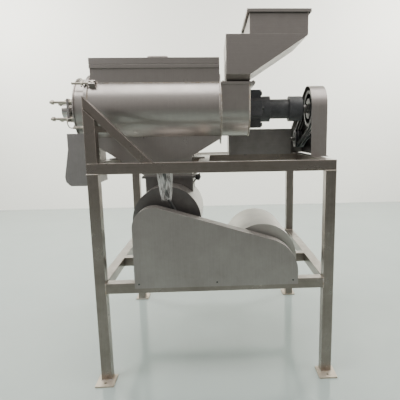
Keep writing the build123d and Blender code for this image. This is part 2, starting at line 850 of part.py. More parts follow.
# ---------------------------------------------------------------- bearing cartridge
with BuildPart() as bearing_cartridge:
    centre = (shaft_y, shaft_height)
    extrude(disc_face(across(chamber_right), centre, cartridge_collar_radius), amount=cartridge_lug_length)
    arm_width = cartridge_lug_width / 2
    for size in ((cartridge_lug_width, 2 * cartridge_lug_reach), (2 * cartridge_lug_reach, cartridge_lug_width)):
        extrude(rect_face(across(chamber_right), centre, *size), amount=cartridge_lug_length)
    for y in (-1, 1):
        for z in (-1, 1):
            corner = (shaft_y + y * arm_width, shaft_height + z * arm_width)
            relief = disc_face(across(chamber_right + 14), corner, 9)
            extrude(relief, amount=cartridge_lug_length - 14, mode=Mode.SUBTRACT)
    x = chamber_right + cartridge_lug_length
    extrude(disc_face(across(x), centre, cartridge_collar_radius), amount=cartridge_collar_length)
    x = x + cartridge_collar_length
    extrude(disc_face(across(x), centre, cartridge_tube_radius), amount=cartridge_tube_length)
    x = x + cartridge_tube_length
    extrude(disc_face(across(x), centre, cartridge_end_radius), amount=cartridge_end_length)
    chamfer(edges().filter_by(GeomType.CIRCLE).sort_by(Axis.X)[-1], 6)
    bore = disc_face(across(chamber_right), centre, bearing_radius)
    extrude(bore, amount=cartridge_right - chamber_right, mode=Mode.SUBTRACT)
bearing_cartridge.part.label = "bearing_cartridge"
export_step(bearing_cartridge.part, "parts/bearing_cartridge.step")

chamber_bolt_reach = 84
bolt_head = 10
with BuildPart() as chamber_bolts:
    for y, z in ((0, 1), (1, 0), (0, -1), (-1, 0)):
        place = (shaft_y + y * chamber_bolt_reach, shaft_height + z * chamber_bolt_reach)
        with BuildSketch(across(chamber_right + cartridge_lug_length)):
            with Locations(place):
                RegularPolygon(13, 6)
        extrude(amount=bolt_head)
    for x in (hopper_left - 12, mouth_right + 12):
        for offset in (-1, 0, 1):
            with BuildSketch(level(chamber_top)):
                with Locations((x, shaft_y + offset * chamber_radius * 0.75)):
                    RegularPolygon(7, 6)
            extrude(amount=6)

stub_start = drum_left - ring_thickness
inner_bearing_x = chamber_right + 20
outer_bearing_x = cartridge_right - bearing_width - 10
end_bearing_x = bridge_left - 20
with BuildPart() as bearings:
    for x in (inner_bearing_x, outer_bearing_x):
        race = disc_face(across(x), (shaft_y, shaft_height), bearing_radius, shaft_radius + running_gap)
        extrude(race, amount=bearing_width)
    race = disc_face(across(end_bearing_x), (shaft_y, shaft_height), 28, stub_radius + running_gap)
    extrude(race, amount=16)
    for y in (mill_front_y, mill_back_y + mill_housing_length):
        race = disc_face(facing(y), (mill_axis_x, mill_height), mill_bearing_radius, mill_shaft_radius + running_gap)
        extrude(race, amount=18)
bearings.part.label = "bearings"
export_step(bearings.part, "parts/bearings.step")

# ---------------------------------------------------------------- upper rotor
shaft_end = pulley_left + pulley_width + 4
with BuildPart() as main_shaft:
    extrude(disc_face(across(stub_start), (shaft_y, shaft_height), shaft_radius), amount=shaft_end - stub_start)
    stub = disc_face(across(bridge_left - 28), (shaft_y, shaft_height), stub_radius)
    extrude(stub, amount=stub_start - bridge_left + 28)
main_shaft.part.label = "main_shaft"
export_step(main_shaft.part, "parts/main_shaft.step")

beater_count = 4
beater_gap = 7
arm_pitch = 3
with BuildPart() as drum_beaters:
    hub_radius = shaft_radius + 14
    beater_start = drum_left + 30
    beater_length = drum_length - 60
    beater_reach = screen_radius - thin_sheet - beater_gap
    for index in range(arm_pitch):
        x = beater_start + 40 + index * (beater_length - 100) / (arm_pitch - 1)
        extrude(disc_face(across(x), (shaft_y, shaft_height), hub_radius, shaft_radius), amount=20)
        for turn in range(beater_count):
            with BuildSketch(across(x + 4)):
                with Locations(Location((shaft_y, shaft_height), turn * 360 / beater_count)):
                    with Locations(((beater_reach + hub_radius) / 2 - 4, 0)):
                        Rectangle(beater_reach - hub_radius, 14)
            extrude(amount=12)
    for turn in range(beater_count):
        with BuildSketch(across(beater_start)):
            with Locations(Location((shaft_y, shaft_height), turn * 360 / beater_count)):
                with Locations((beater_reach - 5, 0)):
                    Rectangle(10, 40)
        extrude(amount=beater_length)
drum_beaters.part.label = "drum_beaters"
export_step(drum_beaters.part, "parts/drum_beaters.step")

rotor_start = chamber_left + 22
rotor_pitch = 32
rotor_disc_count = hammer_count + 1


def hammer_pin_place(row):
    angle = math.radians(row * 360 / hammer_rows)
    return (shaft_y + hammer_pin_circle * math.cos(angle), shaft_height + hammer_pin_circle * math.sin(angle))


with BuildPart() as hammer_rotor:
    for index in range(rotor_disc_count):
        x = rotor_start + index * rotor_pitch
        disc = disc_face(across(x), (shaft_y, shaft_height), rotor_disc_radius, shaft_radius)
        extrude(disc, amount=rotor_disc_thickness)
    spacer = disc_face(across(rotor_start), (shaft_y, shaft_height), shaft_radius + 12, shaft_radius)
    extrude(spacer, amount=(rotor_disc_count - 1) * rotor_pitch)
    for row in range(hammer_rows):
        pin = disc_face(across(rotor_start), hammer_pin_place(row), hammer_pin_radius)
        extrude(pin, amount=(rotor_disc_count - 1) * rotor_pitch + rotor_disc_thickness)
hammer_rotor.part.label = "hammer_rotor"
export_step(hammer_rotor.part, "parts/hammer_rotor.step")

hammer_tail = hammer_width / 2
for row in range(hammer_rows):
    pin_y, pin_z = hammer_pin_place(row)
    row_name = "hammer_row_" + str(row + 1)
    with BuildPart() as hammer_row:
        for index in range(hammer_count):
            gap = rotor_pitch - rotor_disc_thickness
            x = rotor_start + rotor_disc_thickness + index * rotor_pitch + (gap - hammer_thickness) / 2
            with BuildSketch(across(x)):
                with Locations(Location((pin_y, pin_z), row * 360 / hammer_rows)):
                    with Locations((hammer_length / 2 - hammer_tail, 0)):
                        Rectangle(hammer_length, hammer_width)
                    Circle(hammer_pin_radius + running_gap, mode=Mode.SUBTRACT)
            extrude(amount=hammer_thickness)
    hammer_row.part.label = row_name
    export_step(hammer_row.part, "parts/" + row_name + ".step")

with BuildPart() as shaft_pulley:
    with BuildSketch(Plane((pulley_left, shaft_y, shaft_height), x_dir=(1, 0, 0), z_dir=(0, -1, 0))):
        with BuildLine():
            Polyline(*pulley_profile(big_pulley_radius, pulley_width, shaft_radius, belt_count), close=True)
        make_face()
    revolve(axis=Axis((pulley_left, shaft_y, shaft_height), (1, 0, 0)))
    web_hole = 13
    web_circle = 68
    with BuildSketch(across(pulley_left)):
        with Locations((shaft_y, shaft_height)):
            with PolarLocations(web_circle, 6):
                Circle(web_hole - 2)
    extrude(amount=pulley_width, mode=Mode.SUBTRACT)
shaft_pulley.part.label = "shaft_pulley"
export_step(shaft_pulley.part, "parts/shaft_pulley.step")

# ---------------------------------------------------------------- upper belt drive
def upper_guard_face(plane, inset):
    """The guard's outline: arcs round both pulleys, joined by tangents, standing on the rail."""
    base_length = upper_motor_inset + guard_tail_radius - shaft_inset + guard_radius - 2 * inset
    base_y = shaft_y - guard_radius + inset + base_length / 2
    with BuildSketch(plane) as face:
        with Locations((shaft_y, shaft_height)):
            Circle(guard_radius - inset)
        with Locations((upper_motor_y, upper_motor_height)):
            Circle(guard_tail_radius - inset)
        with Locations((base_y, frame_height + 5)):
            Rectangle(base_length, 10)
        make_hull()
    return face.sketch


with BuildPart() as upper_belt_guard:
    extrude(upper_guard_face(across(guard_left), 0), amount=guard_width)
    inside = upper_guard_face(across(guard_left), thin_sheet)
    extrude(inside, amount=guard_width - thin_sheet, mode=Mode.SUBTRACT)
    foot_centre = (guard_left + guard_width + guard_foot / 2, shaft_y - guard_radius + 20)
    foot = rect_face(level(frame_height), foot_centre, guard_foot, 40)
    extrude(foot, amount=2 * thin_sheet)
    under = rect_face(level(frame_height), (guard_left, shaft_y), 4 * guard_width, 4 * frame_depth)
    extrude(under, amount=-tube, mode=Mode.SUBTRACT)
upper_belt_guard.part.label = "upper_belt_guard"
export_step(upper_belt_guard.part, "parts/upper_belt_guard.step")


def belt_radius(pulley_radius):
    """Where the belt's inner face rides in a pulley's grooves."""
    return pulley_radius - groove_depth + 0.4


with BuildPart() as upper_belts:
    shaft_place = (shaft_y, shaft_height)
    motor_place = (upper_motor_y, upper_motor_height)
    for offset in groove_places(pulley_width, belt_count):
        plane = across(pulley_left + offset)
        inner = (belt_radius(big_pulley_radius), belt_radius(upper_motor_pulley_radius))
        outer = (inner[0] + belt_thickness, inner[1] + belt_thickness)
        extrude(belt_loop_face(plane, shaft_place, outer[0], motor_place, outer[1]), amount=belt_width)
        hole = belt_loop_face(plane, shaft_place, inner[0], motor_place, inner[1])
        extrude(hole, amount=belt_width, mode=Mode.SUBTRACT)
upper_belts.part.label = "upper_belts"
export_step(upper_belts.part, "parts/upper_belts.step")

motor_box_left = left + motor_box_start
upper_motor_left = motor_box_left + 30
upper_motor_right = guard_left - 50
with BuildPart() as upper_motor:
    length = upper_motor_right - upper_motor_left
    body = disc_face(across(upper_motor_left), (upper_motor_y, upper_motor_height), upper_motor_radius)
    extrude(body, amount=length)
    foot_height = upper_motor_height - frame_height - upper_motor_radius + 12
    foot_centre = (upper_motor_left + length / 2, upper_motor_y)
    extrude(rect_face(level(frame_height), foot_centre, length * 0.6, 130), amount=foot_height)
    bore = disc_face(
        across(upper_motor_right - 60), (upper_motor_y, upper_motor_height), upper_motor_shaft_radius + running_gap
    )
    extrude(bore, amount=60, mode=Mode.SUBTRACT)
    slot = rect_face(level(frame_height), foot_centre, length * 0.6, far_motor_rail_y - motor_rail_y - tube)
    extrude(slot, amount=3, mode=Mode.SUBTRACT)
upper_motor.part.label = "upper_motor"
export_step(upper_motor.part, "parts/upper_motor.step")

with BuildPart() as upper_motor_cover:
    box_centre = (motor_box_left + motor_box_length / 2, front + motor_rail_inset - 8 + motor_box_depth / 2)
    extrude(rect_face(level(frame_height), box_centre, motor_box_length, motor_box_depth), amount=motor_box_height)
    room = (motor_box_length - 2 * thin_sheet, motor_box_depth - 2 * thin_sheet)
    inside = rect_face(level(frame_height), box_centre, *room)
    extrude(inside, amount=motor_box_height - thin_sheet, mode=Mode.SUBTRACT)
    wall_x = motor_box_left + motor_box_length - thin_sheet
    shaft_hole = disc_face(across(wall_x), (upper_motor_y, upper_motor_height), upper_motor_shaft_radius + 8)
    extrude(shaft_hole, amount=thin_sheet, mode=Mode.SUBTRACT)
upper_motor_cover.part.label = "upper_motor_cover"
export_step(upper_motor_cover.part, "parts/upper_motor_cover.step")

with BuildPart() as upper_motor_shaft:
    start = upper_motor_right - 58
    section = disc_face(across(start), (upper_motor_y, upper_motor_height), upper_motor_shaft_radius)
    extrude(section, amount=shaft_end - start)
upper_motor_shaft.part.label = "upper_motor_shaft"
export_step(upper_motor_shaft.part, "parts/upper_motor_shaft.step")

with BuildPart() as upper_motor_pulley:
    with BuildSketch(Plane((pulley_left, upper_motor_y, upper_motor_height), x_dir=(1, 0, 0), z_dir=(0, -1, 0))):
        with BuildLine():
            points = pulley_profile(upper_motor_pulley_radius, pulley_width, upper_motor_shaft_radius, belt_count)
            Polyline(*points, close=True)
        make_face()
    revolve(axis=Axis((pulley_left, upper_motor_y, upper_motor_height), (1, 0, 0)))
upper_motor_pulley.part.label = "upper_motor_pulley"
export_step(upper_motor_pulley.part, "parts/upper_motor_pulley.step")

# ---------------------------------------------------------------- lower mill
mill_centre = (mill_axis_x, mill_height)
casing_back = mill_back_y - mill_plate
casing_depth = mill_length - 2 * mill_plate
spout_y = mill_front_y + 50 + spout_depth / 2
with BuildPart() as mill_casing:
    extrude(disc_face(facing(casing_back), mill_centre, mill_radius, mill_radius - chamber_wall), amount=casing_depth)
    inlet = rect_face(
        level(mill_height), (mill_axis_x, shaft_y), throat_width - 2 * sheet, funnel_width - 2 * sheet
    )
    extrude(inlet, amount=2 * mill_radius, mode=Mode.SUBTRACT)
    outlet = rect_face(level(mill_height), (mill_axis_x, spout_y), spout_width - 2 * sheet, spout_depth - 2 * sheet)
    extrude(outlet, amount=-2 * mill_radius, mode=Mode.SUBTRACT)
mill_casing.part.label = "mill_casing"
export_step(mill_casing.part, "parts/mill_casing.step")

with BuildPart() as mill_end_plates:
    for y in (mill_front_y + mill_plate, mill_back_y):
        plate = disc_face(facing(y), mill_centre, mill_radius, mill_bearing_radius - 6)
        extrude(plate, amount=mill_plate)
mill_end_plates.part.label = "mill_end_plates"
export_step(mill_end_plates.part, "parts/mill_end_plates.step")

with BuildPart() as mill_throat:
    throat_bottom = mill_height + 60
    body_height = throat_top - throat_bottom
    outer = rect_face(level(throat_bottom), (mill_axis_x, shaft_y), throat_width, funnel_width)
    extrude(outer, amount=body_height)
    lip_size = (throat_width + 2 * throat_flange, funnel_width + 2 * throat_flange)
    lip = rect_face(level(throat_top - throat_flange_thickness), (mill_axis_x, shaft_y), *lip_size)
    extrude(lip, amount=throat_flange_thickness)
    way = (throat_width - 2 * sheet, funnel_width - 2 * sheet)
    extrude(rect_face(level(throat_bottom), (mill_axis_x, shaft_y), *way), amount=body_height, mode=Mode.SUBTRACT)
    casing_room = disc_face(facing(mill_back_y), mill_centre, mill_radius)
    extrude(casing_room, amount=mill_length, mode=Mode.SUBTRACT)
mill_throat.part.label = "mill_throat"
export_step(mill_throat.part, "parts/mill_throat.step")

with BuildPart() as mill_screen:
    band = disc_face(facing(casing_back), mill_centre, mill_screen_radius, mill_screen_radius - thin_sheet)
    extrude(band, amount=casing_depth)
    upper = rect_face(facing(casing_back), (mill_axis_x, mill_height + mill_radius), 3 * mill_radius, 2 * mill_radius)
    extrude(upper, amount=casing_depth, mode=Mode.SUBTRACT)
mill_screen.part.label = "mill_screen"
export_step(mill_screen.part, "parts/mill_screen.step")

with BuildPart() as mill_spout:
    spout_top = mill_height - 120
    section = rect_face(level(spout_bottom), (mill_axis_x, spout_y), spout_width, spout_depth)
    extrude(section, amount=spout_top - spout_bottom)
    way = rect_face(level(spout_bottom), (mill_axis_x, spout_y), spout_width - 2 * sheet, spout_depth - 2 * sheet)
    extrude(way, amount=spout_top - spout_bottom, mode=Mode.SUBTRACT)
    casing_room = disc_face(facing(mill_back_y), mill_centre, mill_radius)
    extrude(casing_room, amount=mill_length, mode=Mode.SUBTRACT)
mill_spout.part.label = "mill_spout"
export_step(mill_spout.part, "parts/mill_spout.step")

with BuildPart() as mill_saddles:
    saddle_half = mill_bearer_offset + tube / 2
    for y in (mill_front_y + 20, mid_rail_y + tube / 2 - 12):
        saddle_outline = [
            (mill_axis_x - saddle_half, lower_rail_top),
            (mill_axis_x + saddle_half, lower_rail_top),
            (mill_axis_x + saddle_half, lower_rail_top + 60),
            (mill_axis_x + mill_radius * 0.85, mill_height - 80),
            (mill_axis_x - mill_radius * 0.85, mill_height - 80),
            (mill_axis_x - saddle_half, lower_rail_top + 60),
        ]
        extrude(poly_face(facing(y), saddle_outline), amount=saddle_thickness)
    casing_room = disc_face(facing(mill_back_y), mill_centre, mill_radius)
    extrude(casing_room, amount=mill_length, mode=Mode.SUBTRACT)
    spout_room = rect_face(level(lower_rail_top), (mill_axis_x, spout_y), spout_width, spout_depth)
    extrude(spout_room, amount=2 * mill_radius, mode=Mode.SUBTRACT)
mill_saddles.part.label = "mill_saddles"
export_step(mill_saddles.part, "parts/mill_saddles.step")

with BuildPart() as mill_bearing_housings:
    for y in (mill_front_y, mill_back_y + mill_housing_length):
        ring = disc_face(facing(y), mill_centre, mill_housing_radius, mill_bearing_radius)
        extrude(ring, amount=mill_housing_length)
mill_bearing_housings.part.label = "mill_bearing_housings"
export_step(mill_bearing_housings.part, "parts/mill_bearing_housings.step")

mill_shaft_back = mill_back_y + mill_housing_length + 6
with BuildPart() as mill_shaft:
    section = disc_face(facing(mill_shaft_back), mill_centre, mill_shaft_radius)
    extrude(section, amount=mill_shaft_back - pulley_front_y + 4)
mill_shaft.part.label = "mill_shaft"
export_step(mill_shaft.part, "parts/mill_shaft.step")

mill_disc_count = 3
mill_beater_count = 6
with BuildPart() as mill_rotor:
    rotor_depth = casing_depth - 60
    rotor_front = mill_front_y + mill_plate + 30
    extrude(disc_face(facing(rotor_front + rotor_depth), mill_centre, 34, mill_shaft_radius), amount=rotor_depth)
    for index in range(mill_disc_count):
        y = rotor_front + 20 + index * (rotor_depth - 32) / (mill_disc_count - 1)
        extrude(disc_face(facing(y), mill_centre, 120, mill_shaft_radius), amount=12)
    for turn in range(mill_beater_count):
        with BuildSketch(facing(rotor_front + rotor_depth)):
            with Locations(Location(mill_centre, turn * 360 / mill_beater_count)):
                with Locations(((beater_tip_radius + 96) / 2, 0)):
                    Rectangle(beater_tip_radius - 96, 14)
        extrude(amount=rotor_depth)
mill_rotor.part.label = "mill_rotor"
export_step(mill_rotor.part, "parts/mill_rotor.step")



def lower_pulley_plane(x, z):
    """Local X along the mill's shaft towards the back, local Y upwards."""
    return Plane((x, pulley_front_y, z), x_dir=(0, 1, 0), z_dir=(1, 0, 0))


with BuildPart() as mill_pulley:
    with BuildSketch(lower_pulley_plane(mill_axis_x, mill_height)):
        with BuildLine():
            points = pulley_profile(mill_pulley_radius, motor_pulley_width, mill_shaft_radius, lower_belt_count)
            Polyline(*points, close=True)
        make_face()
    revolve(axis=Axis((mill_axis_x, pulley_front_y, mill_height), (0, 1, 0)))
mill_pulley.part.label = "mill_pulley"
export_step(mill_pulley.part, "parts/mill_pulley.step")

# ---------------------------------------------------------------- lower belt drive
motor_centre = (lower_motor_axis_x, lower_motor_height)
with BuildPart() as lower_motor_pulley:
    with BuildSketch(lower_pulley_plane(*motor_centre)):
        with BuildLine():
            points = pulley_profile(
                lower_motor_pulley_radius, motor_pulley_width, lower_motor_shaft_radius, lower_belt_count
            )
            Polyline(*points, close=True)
        make_face()
    revolve(axis=Axis((lower_motor_axis_x, pulley_front_y, lower_motor_height), (0, 1, 0)))
lower_motor_pulley.part.label = "lower_motor_pulley"
export_step(lower_motor_pulley.part, "parts/lower_motor_pulley.step")

with BuildPart() as lower_belts:
    for offset in groove_places(motor_pulley_width, lower_belt_count):
        plane = facing(pulley_front_y + offset + belt_width)
        inner = (belt_radius(mill_pulley_radius), belt_radius(lower_motor_pulley_radius))
        outer = (inner[0] + belt_thickness, inner[1] + belt_thickness)
        extrude(belt_loop_face(plane, mill_centre, outer[0], motor_centre, outer[1]), amount=belt_width)
        hole = belt_loop_face(plane, mill_centre, inner[0], motor_centre, inner[1])
        extrude(hole, amount=belt_width, mode=Mode.SUBTRACT)
lower_belts.part.label = "lower_belts"
export_step(lower_belts.part, "parts/lower_belts.step")

motor_front_y = front + lower_motor_front
with BuildPart() as lower_motor:
    motor_back_y = motor_front_y + lower_motor_length
    extrude(disc_face(facing(motor_back_y), motor_centre, lower_motor_radius), amount=lower_motor_length)
    base_top = lower_rail_bottom + motor_base_thickness
    foot_height = lower_motor_height - lower_motor_radius - base_top + 16
    foot_y = (motor_front_y + motor_back_y) / 2
    feet = rect_face(level(base_top), (lower_motor_axis_x, foot_y), 1.7 * lower_motor_radius, lower_motor_length * 0.7)
    extrude(feet, amount=foot_height)
    bore = disc_face(facing(motor_front_y + 60), motor_centre, lower_motor_shaft_radius + running_gap)
    extrude(bore, amount=60, mode=Mode.SUBTRACT)
lower_motor.part.label = "lower_motor"
export_step(lower_motor.part, "parts/lower_motor.step")

with BuildPart() as lower_motor_shaft:
    section = disc_face(facing(motor_front_y + 58), motor_centre, lower_motor_shaft_radius)
    extrude(section, amount=motor_front_y + 58 - pulley_front_y + 4)
lower_motor_shaft.part.label = "lower_motor_shaft"
export_step(lower_motor_shaft.part, "parts/lower_motor_shaft.step")


def shroud_face(plane, inset):
    """An arch over the lower motor: a half round with straight sides down to the rails."""
    radius = shroud_radius - inset
    height = lower_motor_height - lower_rail_top
    with BuildSketch(plane) as face:
        with Locations(motor_centre):
            Circle(radius)
        with Locations((lower_motor_axis_x, lower_rail_top + height / 2)):
            Rectangle(2 * radius, height)
        with Locations((lower_motor_axis_x, lower_rail_top - radius)):
            Rectangle(4 * radius, 2 * radius, mode=Mode.SUBTRACT)
    return face.sketch


shroud_front_y = front + shroud_front
with BuildPart() as motor_shroud:
    extrude(shroud_face(facing(shroud_front_y + shroud_length), 0), amount=shroud_length)
    inside = shroud_face(facing(shroud_front_y + shroud_length - thin_sheet), thin_sheet)
    extrude(inside, amount=shroud_length - 2 * thin_sheet, mode=Mode.SUBTRACT)
    shaft_hole = disc_face(facing(motor_front_y), motor_centre, lower_motor_shaft_radius + 12)
    extrude(shaft_hole, amount=motor_front_y - shroud_front_y, mode=Mode.SUBTRACT)
motor_shroud.part.label = "motor_shroud"
export_step(motor_shroud.part, "parts/motor_shroud.step")


def lower_guard_face(plane, inset):
    """The guard's outline: a head arc at the mill, a broad tail arc at the motor, upright ends."""
    base_width = lower_guard_right - lower_guard_left - 2 * inset
    base_x = left + (lower_guard_left + lower_guard_right) / 2
    head_x = left + lower_guard_left + lower_guard_head_radius
    tail_x = left + lower_guard_right - lower_guard_tail_radius
    with BuildSketch(plane) as face:
        with Locations((head_x, lower_guard_head_height)):
            Circle(lower_guard_head_radius - inset)
        with Locations((tail_x, lower_guard_tail_height)):
            Circle(lower_guard_tail_radius - inset)
        with Locations((base_x, lower_rail_top + 5)):
            Rectangle(base_width, 10)
        make_hull()
        with Locations((base_x, lower_rail_top - 2 * tube)):
            Rectangle(2 * base_width, 4 * tube, mode=Mode.SUBTRACT)
    return face.sketch


with BuildPart() as lower_belt_guard:
    wrap_back = front + lower_guard_depth
    extrude(lower_guard_face(facing(wrap_back), 0), amount=lower_guard_depth)
    inside = lower_guard_face(facing(wrap_back), thin_sheet)
    extrude(inside, amount=lower_guard_depth, mode=Mode.SUBTRACT)
    extrude(lower_guard_face(facing(front), 0), amount=thin_sheet)
    lap_x = left + (lower_guard_left + lower_guard_right) / 2
    lap = rect_face(
        facing(front),
        (lap_x, lower_rail_top - lower_guard_lap / 2 + 1),
        lower_guard_right - lower_guard_left,
        lower_guard_lap + 2,
    )
    extrude(lap, amount=thin_sheet)
lower_belt_guard.part.label = "lower_belt_guard"
export_step(lower_belt_guard.part, "parts/lower_belt_guard.step")

screw_z = lower_rail_top - 5
screw_xs = (lower_guard_left + 21, (lower_guard_left + lower_guard_right) / 2, lower_guard_right - 25)
with BuildPart() as guard_screws:
    for x in screw_xs:
        head = disc_face(facing(front - thin_sheet), (left + x, screw_z), screw_radius)
        extrude(head, amount=2.5)
save_group("bolts_and_screws", chamber_bolts, guard_screws)

# ---------------------------------------------------------------- supply cable and its glands
cable_route = [(left + x, front + y, z) for x, y, z in cable_points]


def bend_radii(points):
    """Each bend is as large as its two runs allow."""
    radii = []
    for before, point, after in zip(points, points[1:], points[2:]):
        run_in = Vector(*point) - Vector(*before)
        run_out = Vector(*after) - Vector(*point)
        half_turn = math.radians(run_in.get_angle(run_out)) / 2
        radii.append(0.45 * min(run_in.length, run_out.length) / math.tan(half_turn))
    return radii


cable_radii = bend_radii(cable_route)
print("supply cable bend radii", [round(radius) for radius in cable_radii])
with BuildPart() as supply_cable:
    with BuildLine() as cable_path:
        FilletPolyline(*cable_route, radius=cable_radii)
    with BuildSketch(Plane(cable_path.line @ 0, z_dir=cable_path.line % 0)):
        Circle(cable_radius)
    sweep()
section_area = math.pi * cable_radius**2
cable_length = sum(edge.length for edge in cable_path.edges())
cable_fill = supply_cable.part.volume / (section_area * cable_length)
print("supply cable length", round(cable_length), "volume over section times length", round(cable_fill, 4))
supply_cable.part.label = "supply_cable"
export_step(supply_cable.part, "parts/supply_cable.step")
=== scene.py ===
"""Looks of a hammer mill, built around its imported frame. Metres, +Z up, +X towards the pulleys."""
import json
import math

import bmesh
import bpy
from mathutils import Matrix, Vector


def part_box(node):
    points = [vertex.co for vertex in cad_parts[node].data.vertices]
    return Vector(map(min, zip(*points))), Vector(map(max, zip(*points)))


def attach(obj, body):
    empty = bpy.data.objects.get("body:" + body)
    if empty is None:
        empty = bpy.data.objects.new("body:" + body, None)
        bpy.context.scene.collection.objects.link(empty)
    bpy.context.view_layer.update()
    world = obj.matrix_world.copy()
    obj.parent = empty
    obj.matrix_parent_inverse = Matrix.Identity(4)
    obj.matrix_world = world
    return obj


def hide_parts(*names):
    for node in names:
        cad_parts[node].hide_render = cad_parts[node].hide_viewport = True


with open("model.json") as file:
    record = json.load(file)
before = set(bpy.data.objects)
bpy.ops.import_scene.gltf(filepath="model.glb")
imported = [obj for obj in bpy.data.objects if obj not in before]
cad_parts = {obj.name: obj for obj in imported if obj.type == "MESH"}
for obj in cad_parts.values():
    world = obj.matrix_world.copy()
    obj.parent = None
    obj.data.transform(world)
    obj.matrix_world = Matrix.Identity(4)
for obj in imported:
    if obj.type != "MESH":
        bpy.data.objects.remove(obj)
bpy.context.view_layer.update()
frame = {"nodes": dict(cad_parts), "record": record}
nodes = frame["nodes"]
joint_place = {j["name"]: Vector(j["pos_m"]) for j in frame["record"]["behaviour"]["joints"]}
SHAFT = joint_place["rotor_spin"]


# ---------------------------------------------------------------- node helpers
def node(tree, kind, sockets=None, **settings):
    """Add a node; sockets maps an input's name or number to a value or to another node's output."""
    made = tree.nodes.new(kind)
    for name, value in settings.items():
        setattr(made, name, value)
    for key, value in (sockets or {}).items():
        if isinstance(value, bpy.types.NodeSocket):
            tree.links.new(value, made.inputs[key])
        else:
            made.inputs[key].default_value = value
    return made


def new_tree(name, kind, inputs, outputs):
    """A node group with named sockets, given as (name, socket type, default)."""
    tree = bpy.data.node_groups.new(name, kind)
    for label, socket_type, default in inputs:
        socket = tree.interface.new_socket(label, in_out="INPUT", socket_type=socket_type)
        if default is not None:
            socket.default_value = default
    for label, socket_type in outputs:
        tree.interface.new_socket(label, in_out="OUTPUT", socket_type=socket_type)
    return tree, tree.nodes.new("NodeGroupInput").outputs, tree.nodes.new("NodeGroupOutput")


def math_node(tree, operation, *values, clamp=False):
    sockets = dict(enumerate(values))
    return node(tree, "ShaderNodeMath", sockets, operation=operation, use_clamp=clamp).outputs[0]


def mix_colour(tree, factor, first, second, blend_type="MIX"):
    sockets = {0: factor, 6: first, 7: second}
    return node(tree, "ShaderNodeMix", sockets, data_type="RGBA", blend_type=blend_type).outputs[2]


def spread(tree, value, low, high, to_low, to_high):
    sockets = {"Value": value, "From Min": low, "From Max": high, "To Min": to_low, "To Max": to_high}
    return node(tree, "ShaderNodeMapRange", sockets).outputs[0]


def noise(tree, vector, scale, detail=3.0, roughness=0.6):
    sockets = {"Vector": vector, "Scale": scale, "Detail": detail, "Roughness": roughness}
    return node(tree, "ShaderNodeTexNoise", sockets).outputs[0]


def object_place(tree):
    return node(tree, "ShaderNodeTexCoord").outputs["Object"]


def stretch_by(tree, place, factors):
    return node(tree, "ShaderNodeVectorMath", {0: place, 1: factors}, operation="MULTIPLY").outputs[0]


def product(tree, first, second, clamp=False):
    return math_node(tree, "MULTIPLY", first, second, clamp=clamp)


# ---------------------------------------------------------------- shared effects
def brushed_grain_group():
    """Fine lines left by a belt sander, with slow clouds of handling marks."""
    tree, given, out = new_tree(
        "Brushed Grain",
        "ShaderNodeTree",
        [
            ("Stretch", "NodeSocketVector", (8, 8, 400)),
            ("Light Colour", "NodeSocketColor", (0.6, 0.58, 0.55, 1)),
            ("Dark Colour", "NodeSocketColor", (0.3, 0.29, 0.27, 1)),
            ("Smooth", "NodeSocketFloat", 0.25),
            ("Rough", "NodeSocketFloat", 0.42),
        ],
        [("Colour", "NodeSocketColor"), ("Roughness", "NodeSocketFloat"), ("Height", "NodeSocketFloat")],
    )
    place = object_place(tree)
    lines = noise(tree, stretch_by(tree, place, given["Stretch"]), 1.0, 4.0, 0.7)
    clouds = noise(tree, place, 4.5, 4.0, 0.55)
    smears = noise(tree, place, 17.0, 5.0, 0.65)
    soft = math_node(tree, "ADD", product(tree, clouds, 0.6), product(tree, smears, 0.4))
    tone = math_node(tree, "ADD", product(tree, lines, 0.24), product(tree, soft, 0.76))
    shade = spread(tree, tone, 0.36, 0.64, 0.0, 1.0)
    tree.links.new(mix_colour(tree, shade, given["Dark Colour"], given["Light Colour"]), out.inputs["Colour"])
    rough = spread(tree, tone, 0.36, 0.64, given["Rough"], given["Smooth"])
    tree.links.new(rough, out.inputs["Roughness"])
    tree.links.new(lines, out.inputs["Height"])
    return tree


def shop_dust_group():
    """Pale dust that settles on what faces up."""
    tree, given, out = new_tree(
        "Shop Dust",
        "ShaderNodeTree",
        [
            ("Colour", "NodeSocketColor", (0.5, 0.5, 0.5, 1)),
            ("Dust Colour", "NodeSocketColor", (0.55, 0.53, 0.5, 1)),
            ("Amount", "NodeSocketFloat", 0.3),
        ],
        [("Colour", "NodeSocketColor"), ("Mask", "NodeSocketFloat")],
    )
    normal = node(tree, "ShaderNodeNewGeometry").outputs["Normal"]
    rise = node(tree, "ShaderNodeSeparateXYZ", {0: normal}).outputs["Z"]
    facing_up = spread(tree, rise, 0.35, 1.0, 0.0, 1.0)
    specks = noise(tree, object_place(tree), 38.0, 6.0, 0.7)
    broken = spread(tree, specks, 0.35, 0.65, 0.25, 1.0)
    mask = product(tree, product(tree, facing_up, broken), given["Amount"], clamp=True)
    tree.links.new(mix_colour(tree, mask, given["Colour"], given["Dust Colour"]), out.inputs["Colour"])
    tree.links.new(mask, out.inputs["Mask"])
    return tree


